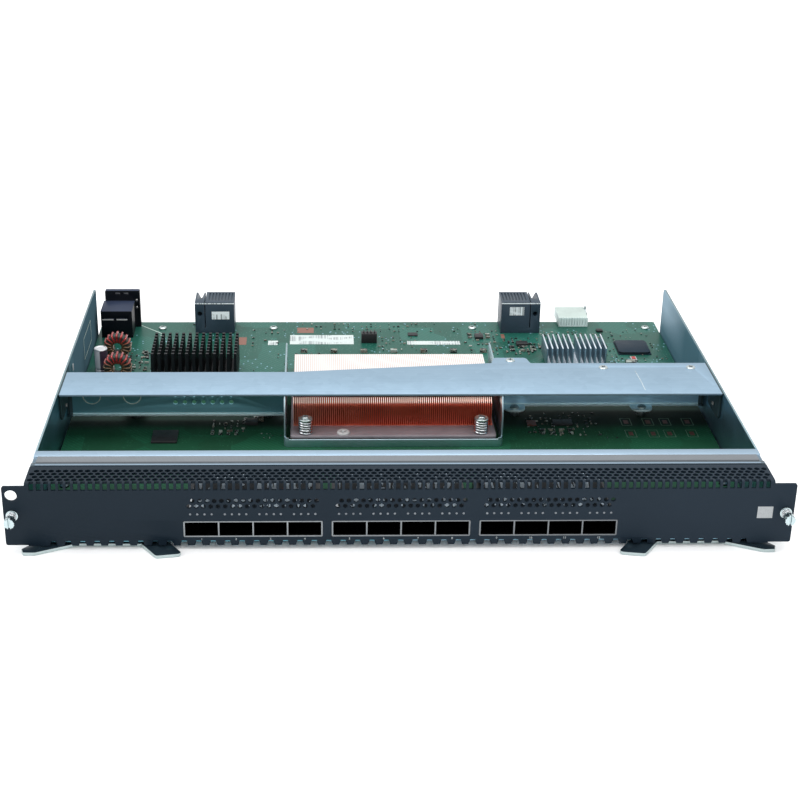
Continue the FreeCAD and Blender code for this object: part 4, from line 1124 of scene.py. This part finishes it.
def makeChokes():
    for index, (low, high) in enumerate(islands("choke_cores")):
        inner, outer, half = choke["hole"], (high.x - low.x) / 2 / mm, (high.y - low.y) / 2 / mm
        place = Matrix.Translation((low + high) / 2) @ Matrix.Rotation(math.pi / 2, 4, "X")
        ring = turned("chokeRing%d" % (index + 1), coreOutline(inner, outer, half), 48)
        loop = winding("chokeWire%d" % (index + 1), inner, outer, half)
        for piece, finish, node in ((ring, "ferrite", "choke_cores"), (loop, "wire", "choke_windings")):
            piece.data.transform(place)
            settle(piece, finish, node, takesOver=index > 0)


def makeCapacitor():
    low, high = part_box("bulk_capacitor")
    radius, top = (high.x - low.x) / 2 / mm, (high.z - low.z) / mm
    groove, lid = radius - can["beadDeep"], top - can["lidDown"]
    piece = turned("bulkCapacitorCan", [
        (0, 0), (radius, 0), (radius, can["bead"] - 0.9), (groove, can["bead"] - 0.4),
        (groove, can["bead"] + 0.4), (radius, can["bead"] + 0.9), (radius, top - 0.5), (radius - 0.35, top),
        (radius - can["rim"], top), (radius - can["rim"] - 0.2, lid), (0, lid)], 48)
    piece.data.transform(Matrix.Translation(foot(low, high)))
    settle(piece, "can", "bulk_capacitor")


makeFins()
makeRivet()
makeSprings()
scatterHeads("boardScrewHeads", "pan", "board_screws", "boardScrew")
scatterHeads("barScrewHeads", "low", "crossbar_screws", "screw")
makeSinkScrews()
print("springs and screws made")
makePins()
makeChokes()
makeCapacitor()
print("coils and capacitor made")


# marks and lamps on the faceplate

lamps = {"across": 1.3, "high": 22.0, "offsets": (-5.9, -2.0, 2.0, 5.9), "stand": 0.25}
numbers = {"size": 1.9, "high": 6.35, "stand": 0.02}


def portMiddles():
    return [(low.x + high.x) / 2 / mm for low, high in islands("port_connectors")]


def makeLamps():
    base = blankPiece("statusLamps")
    spots = [spot(x + shift, 0, lamps["high"]) for x in portMiddles() for shift in lamps["offsets"]]
    base.data.from_pydata([tuple(place) for place in spots], [], [])
    recipe = Recipe("lampRow", {"Radius": lamps["across"] / 2 * mm})
    lens = recipe.add("GeometryNodeMeshIcoSphere", {}, {"Radius": recipe.size("Radius"), "Subdivisions": 3})
    lens = recipe.moved(lens, scale=(1, 2 * lamps["stand"] / lamps["across"], 1))
    recipe.run(base, recipe.spread(recipe.base(), lens), "lens")
    settle(base, "lens", "light_guide_left", takesOver=False)


def textMesh(words, size):
    curve = bpy.data.curves.new("mark", "FONT")
    curve.body = words
    curve.size = size * mm
    curve.align_x = "CENTER"
    curve.align_y = "CENTER"
    curve.extrude = numbers["stand"] * mm
    curve.resolution_u = 2
    return curveMesh(curve)


def makePortNumbers():
    upright = Matrix.Rotation(math.pi / 2, 4, "X")
    marks = []
    for index, x in enumerate(portMiddles()):
        mesh = textMesh(str(index + 1), numbers["size"])
        mesh.transform(Matrix.Translation(spot(x, -numbers["stand"], numbers["high"])) @ upright)
        marks.append(mesh)
    settle(merged("portNumbers", marks), "ink", "faceplate", takesOver=False)


makeLamps()
makePortNumbers()
print("lamps and port numbers made")


# labels, pads and small parts on the board

boardMarks = {                 # finish, then blocks in mm as (x0, x1, y0, y1, z0, z1) above the board
    "boardLabels": ("label", [(-65.6, -20.0, 274.3, 291.3, 0, 0.12), (18.3, 56.1, 273.4, 280.0, 0, 0.12),
                              (-81.1, -74.2, 273.0, 281.0, 0, 0.1)]),
    "copperSquares": ("padBrown", [(-60.6, -48.6, 295.6, 305.6, 0, 0.06),
                                   (-102.2, -96.6, 273.5, 287.5, 0, 0.06), (86.8, 89.4, 285, 293, 0, 0.06)]),
    "redChip": ("padFront", [(87.7, 93.4, 139.5, 146.5, 0, 0.8)]),
    "palePart": ("blank", [(172.7, 176.8, 240.6, 246.6, 0, 2.2)]),
    "redPart": ("redPart", [(173.5, 176.0, 241.8, 245.6, 2.2, 2.6)])}
plainChips = {
    "edge": 0.15,
    "blocks": [(104.4, 116.6, 139.5, 147.0, 0, 1.2), (-91.6, -84.0, 141.5, 147.4, 0, 2.4),
               (67.5, 73.5, 283.0, 290.0, 0, 2.0), (96.0, 104.0, 270.0, 276.0, 0, 2.0),
               (157.5, 162.0, 296.0, 300.0, 0, 1.6), (19.5, 26.5, 289.0, 294.5, 0, 0.9)]}
pads = {"places": [(151.8, 128.0), (166.0, 128.0), (176.4, 128.0), (190.6, 128.0),
                   (151.6, 145.0), (165.8, 145.0), (176.8, 145.0), (191.2, 145.0)],
        "half": (3.3, 5.2), "bareShare": (0.45, 0.5), "line": 0.4, "thick": 0.08, "lineThick": 0.05}
stickers = {"connectors": [(-121.9, -109.3, 19.1, 25.0), (93.2, 103.6, 22.0, 28.4)], "stand": 0.12,
            "blank": (197.7, 206.3, -0.05, 0, 18.3, 25.5)}
seam = {"down": 1.2, "wide": 0.7, "stand": 0.1, "sunk": 0.25}
# painted highlights in the inlet's front slots: spans, heights and depths in mm
slotHighlights = {"spans": ((-199.4, -191.4), (-189.2, -181.6)), "low": 21.7, "high": 22.6,
          "stand": 0.1, "sunk": 0.4}


def mark(name, finish, node, spans, base=0.0, edge=0.0):
    # printed, glued or soldered onto the CAD node that it lies on
    piece = boxes(name, spans, base)
    if edge:
        softened(piece, edge)
    settle(piece, finish, node, takesOver=False)


def outlined(u0, u1, v0, v1, side, end):
    # four bars round a rectangle in any plane, butted at the corners
    return [(u0, u1, v0, v0 + end), (u0, u1, v1 - end, v1),
            (u0, u0 + side, v0 + end, v1 - end), (u1 - side, u1, v0 + end, v1 - end)]


def makeBoardMarks():
    for name, (finish, spans) in boardMarks.items():
        mark(name, finish, "surface_parts", spans, boardTop)
    mark("plainChips", "plug", "surface_parts", plainChips["blocks"], boardTop, plainChips["edge"])


def makePads():
    across, deep = pads["half"]
    wide, long = across * pads["bareShare"][0], deep * pads["bareShare"][1]
    inner, frames = [], []
    for x, y in pads["places"]:
        inner.append((x - wide, x + wide, y - long, y + long, 0, pads["thick"]))
        bars = outlined(x - across, x + across, y - deep, y + deep, pads["line"], pads["line"])
        frames += [(*bar, 0, pads["lineThick"]) for bar in bars]
    mark("testPads", "padFront", "surface_parts", inner, boardTop)
    mark("padOutlines", "outline", "surface_parts", frames, boardTop)


def makeConnectorMarks():
    front = (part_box("backplane_connector_left")[0].y - frontY) / mm
    spans = [(x0, x1, front - stickers["stand"], front, z0, z1) for x0, x1, z0, z1 in stickers["connectors"]]
    mark("connectorLabels", "tag", "backplane_connector_left", spans)
    mark("blankSticker", "blank", "faceplate", [stickers["blank"]])
    seams = []
    for side in ("left", "right"):
        low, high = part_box("backplane_connector_" + side)
        top = high.z / mm - seam["down"]
        front = (low.y - frontY) / mm
        seams.append((low.x / mm, high.x / mm, front - seam["stand"], front + seam["sunk"],
                      top, top + seam["wide"]))
    mark("connectorSeams", "tag", "backplane_connector_left", seams)
    # painted highlights: bright strips in the inlet's two front slots
    front = (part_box("power_connector")[0].y - frontY) / mm
    depth = (front - slotHighlights["stand"], front + slotHighlights["sunk"])
    spans = [(x0, x1, *depth, slotHighlights["low"], slotHighlights["high"]) for x0, x1 in slotHighlights["spans"]]
    mark("inletBlades", "dull", "power_connector", spans)


inkThick = 0.05


def drawnLine(points, wide, z):
    # a thin printed line through points in millimetres
    work = bmesh.new()
    for (x0, y0), (x1, y1) in zip(points, points[1:]):
        along = Vector((x1 - x0, y1 - y0)).normalized()
        side = Vector((-along.y, along.x)) * wide / 2
        start, end = Vector((x0, y0)), Vector((x1, y1))
        ring = [start - side, end - side, end + side, start + side]
        prism(work, [spot(*co, z) for co in ring], [spot(*co, z + inkThick) for co in ring])
    bmesh.ops.recalc_face_normals(work, faces=work.faces)
    return poured(work, "drawnLine")


def arc(x, y, wide, deep, start, count):
    # points a quarter of a radian apart
    angles = [start + step / 4 for step in range(count)]
    return [(x + wide * math.cos(angle), y + deep * math.sin(angle)) for angle in angles]


silk = {"wide": 0.6, "straight": [(-175, 311), (-157, 293.5)],
        "small": (-160.5, 288, 4, 4, -0.5, 8), "large": (-171, 207, 4, 5, math.pi / 2, 9)}


def makeSilk():
    lines = [silk["straight"], arc(*silk["small"]), arc(*silk["large"])]
    meshes = [drawnLine(points, silk["wide"], boardTop) for points in lines]
    settle(merged("silkLines", meshes), "silk", "surface_parts", takesOver=False)


clusters = [                   # left, right, front, rear, columns, rows, share kept, length, seed
    (-112, -93, 133, 147, 6, 5, 0.70, 1.5, 1), (-92, -82, 144, 156, 4, 4, 0.60, 2.2, 2),
    (-83, -69, 123, 129, 9, 3, 0.40, 0.9, 3), (88, 132, 126, 158, 15, 9, 0.50, 1.2, 4),
    (136, 142, 122, 128, 2, 2, 0.60, 1.2, 5), (-176, -160, 228, 262, 5, 9, 0.55, 1.8, 6),
    (-92, -70, 262, 300, 6, 9, 0.18, 1.3, 7), (-60, 70, 298, 312, 40, 4, 0.36, 1.1, 8),
    (-2, 24, 264, 286, 11, 5, 0.40, 1.2, 9), (60, 84, 256, 298, 9, 13, 0.30, 1.3, 10),
    (88, 112, 256, 284, 9, 9, 0.42, 1.6, 11), (116, 160, 262, 296, 16, 11, 0.34, 1.1, 12),
    (158, 199, 240, 300, 14, 18, 0.26, 1.0, 13), (-95, -68, 205, 256, 6, 10, 0.14, 1.1, 14),
    (-66, 66, 204, 257, 26, 8, 0.08, 1.2, 15), (-150, -136, 262, 312, 4, 9, 0.22, 1.5, 16)]
smallPart = {"wide": 0.5, "high": 0.42, "smallest": 0.7, "largest": 1.7}   # all as shares of the length


def partField(left, right, front, rear, columns, rows, share, length, seed):
    # a grid with only some of its points kept, each part turned and sized at random
    recipe = Recipe("partField%d" % seed, {
        "Columns": columns, "Rows": rows, "Share": share, "Length": length * mm, "Seed": seed})
    key, long = recipe.size("Seed"), recipe.size("Length")
    grid = recipe.grid((right - left) * mm, (rear - front) * mm, recipe.size("Columns"), recipe.size("Rows"))
    kept = recipe.size("Share") > recipe.random(0.0, 1.0, key)
    points = recipe.add("GeometryNodeMeshToPoints", {}, {"Mesh": grid, "Selection": kept})
    part = recipe.cube(recipe.vector(long, long * smallPart["wide"], long * smallPart["high"]))
    part = recipe.moved(part, recipe.vector(0, 0, long * (smallPart["high"] / 2)))
    quarter = recipe.random(0, 1, key + 7, "INT")
    grow = recipe.random(smallPart["smallest"], smallPart["largest"], key + 3)
    placed = recipe.spread(points, part, recipe.vector(0, 0, quarter * (math.pi / 2)),
                           recipe.vector(grow, grow, grow))
    middle = spot((left + right) / 2, (front + rear) / 2, boardTop)
    return recipe.run(blankPiece("partField%d" % seed), recipe.moved(placed, middle), "passive")


def makeSmallParts():
    meshes = []
    for cluster in clusters:
        field = partField(*cluster)
        meshes.append(field.data)
        bpy.data.objects.remove(field)
    settle(merged("smallParts", meshes), "passive", "surface_parts", takesOver=False)


makeBoardMarks()
makePads()
makeConnectorMarks()
makeSilk()
makeSmallParts()
print("board dressed")


# marks on the sheet metal, standing a hair above it

rings = {"columns": (-189.0, -163.5), "deep": 148.8, "high": 25.6, "radius": 5.6, "line": 0.34, "points": 24}
scratch = {"points": [(155.9, 151.0), (156.7, 136.0), (156.9, 121.5)], "wide": 0.32, "sunk": 0.02}
wallFixings = [(-202.9, -202.0, 132.3, 134.4, 25.6, 27.4), (202.0, 202.9, 130.2, 132.3, 27.0, 28.8),
               (-203.9, -203.4, 173.4, 175.4, 32.0, 36.6)]
wallPanel = {"outline": (228.0, 263.0, 16.5, 31.5), "side": 0.8, "end": 0.5, "sheet": 1.5, "stand": 0.06}


def ringMesh(x):
    curve = bpy.data.curves.new("drawnRing", "CURVE")
    curve.dimensions = "3D"
    curve.bevel_depth = rings["line"] * mm
    curve.bevel_resolution = 2
    line = curve.splines.new("NURBS")
    line.points.add(rings["points"] - 1)
    for index, point in enumerate(line.points):
        angle = 2 * math.pi * index / rings["points"]
        across, up = rings["radius"] * math.cos(angle), rings["radius"] * math.sin(angle)
        point.co = (*spot(x + across, rings["deep"], rings["high"] + up), 1)
    line.order_u = 3
    line.use_cyclic_u = True
    return curveMesh(curve)


def makeSheetMarks():
    drawn = merged("drawnRings", [ringMesh(x) for x in rings["columns"]])
    settle(drawn, "silk", "crossbar", takesOver=False)
    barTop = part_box("crossbar")[1].z / mm
    line = drawnLine(scratch["points"], scratch["wide"], barTop - scratch["sunk"])
    settle(link("barScratch", line), "label", "crossbar", takesOver=False)
    mark("wallFixings", "dull", "tray", wallFixings, edge=0.2)
    inner = wallPanel["sheet"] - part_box("tray")[1].x / mm
    bars = outlined(*wallPanel["outline"], wallPanel["side"], wallPanel["end"])
    mark("wallPanelOutline", "silk", "tray", [(inner, inner + wallPanel["stand"], *bar) for bar in bars])


makeSheetMarks()
print("sheet metal marked")


# the CAD nodes that keep their own shape

ownShape = {                   # finish: CAD nodes
    "board": ["main_board"], "rider": ["cage_heatsinks"], "passive": ["surface_parts"],
    "chip": ["switch_chip", "pin_heatsink_chip", "fin_heatsink_chip"],
    "cage": ["port_cage_left", "port_cage_middle", "port_cage_right"],
    "guide": ["light_guide_left", "light_guide_middle", "light_guide_right"],
    "screw": ["board_standoffs", "left_lever_pivot", "right_lever_pivot", "left_lever_spacer",
              "right_lever_spacer"]}
for finish, nodes in ownShape.items():
    for node in nodes:
        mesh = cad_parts[node].data
        mesh.materials.clear()
        mesh.materials.append(finishes[finish])
print("CAD nodes finished")


# stage, lights and camera

studio = {"floor": 12.0, "floorTone": 0.93, "sky": 0.95, "skyTint": (0.97, 0.985, 1.0)}
lights = {                     # place, aim, size and power
    "topSoftbox": ((0.0, 0.15, 1.5), (0, 0, 0), (2.0, 1.6), 26),
    "leftSoftbox": ((-1.5, -0.6, 0.8), (0, 0, 0.02), (1.2, 1.2), 9),
    "frontSoftbox": ((0.3, -1.6, 0.9), (0, 0, 0.02), (1.8, 0.8), 5)}
camera = {
    "place": (-46.71, -760.13, 441.75),   # from the front face's middle
    "turn": (65.5309, -0.5574, -1.4900),  # degrees
    "lens": 70.749, "sensor": 36, "shift": (0.05, -0.01), "near": 0.02, "far": 60}


def makeStage():
    mesh = bpy.data.meshes.new("floor")
    half = studio["floor"] / 2
    corners = [(-half, -half, 0), (half, -half, 0), (half, half, 0), (-half, half, 0)]
    mesh.from_pydata(corners, [], [(0, 1, 2, 3)])
    mesh.transform(Matrix.Translation((0, 0, cadBox[0][2] - 0.1 * mm)))
    floor = link("floor", mesh)
    finish = Finish("floorPaper")
    tone = studio["floorTone"]
    colour = finish.between(finish.noise(3), (tone - 0.01,) * 3, (tone,) * 3)
    mesh.materials.append(finish.set(Base_Color=colour, Roughness=0.9))
    world = bpy.data.worlds.new("studio")
    world.use_nodes = True
    sky = world.node_tree.nodes["Background"]
    sky.inputs["Color"].default_value = (*studio["skyTint"], 1)
    sky.inputs["Strength"].default_value = studio["sky"]
    bpy.context.scene.world = world


def areaLight(name, place, aim, size, power):
    data = bpy.data.lights.new(name, "AREA")
    data.shape = "RECTANGLE"
    data.size, data.size_y = size
    data.energy = power
    lamp = link(name, data)
    lamp.location = place
    lamp.rotation_euler = (Vector(aim) - Vector(place)).to_track_quat("-Z", "Y").to_euler()


def makeCamera():
    data = bpy.data.cameras.new("camera")
    data.lens = camera["lens"]
    data.sensor_width = camera["sensor"]
    data.shift_x, data.shift_y = camera["shift"]
    data.clip_start, data.clip_end = camera["near"], camera["far"]
    eye = link("camera", data)
    eye.location = spot(*camera["place"])
    eye.rotation_euler = [math.radians(angle) for angle in camera["turn"]]
    bpy.context.scene.camera = eye


makeStage()
for name, light in lights.items():
    areaLight(name, *light)
makeCamera()
bpy.context.scene.view_settings.view_transform = "Standard"
print("stage lit")
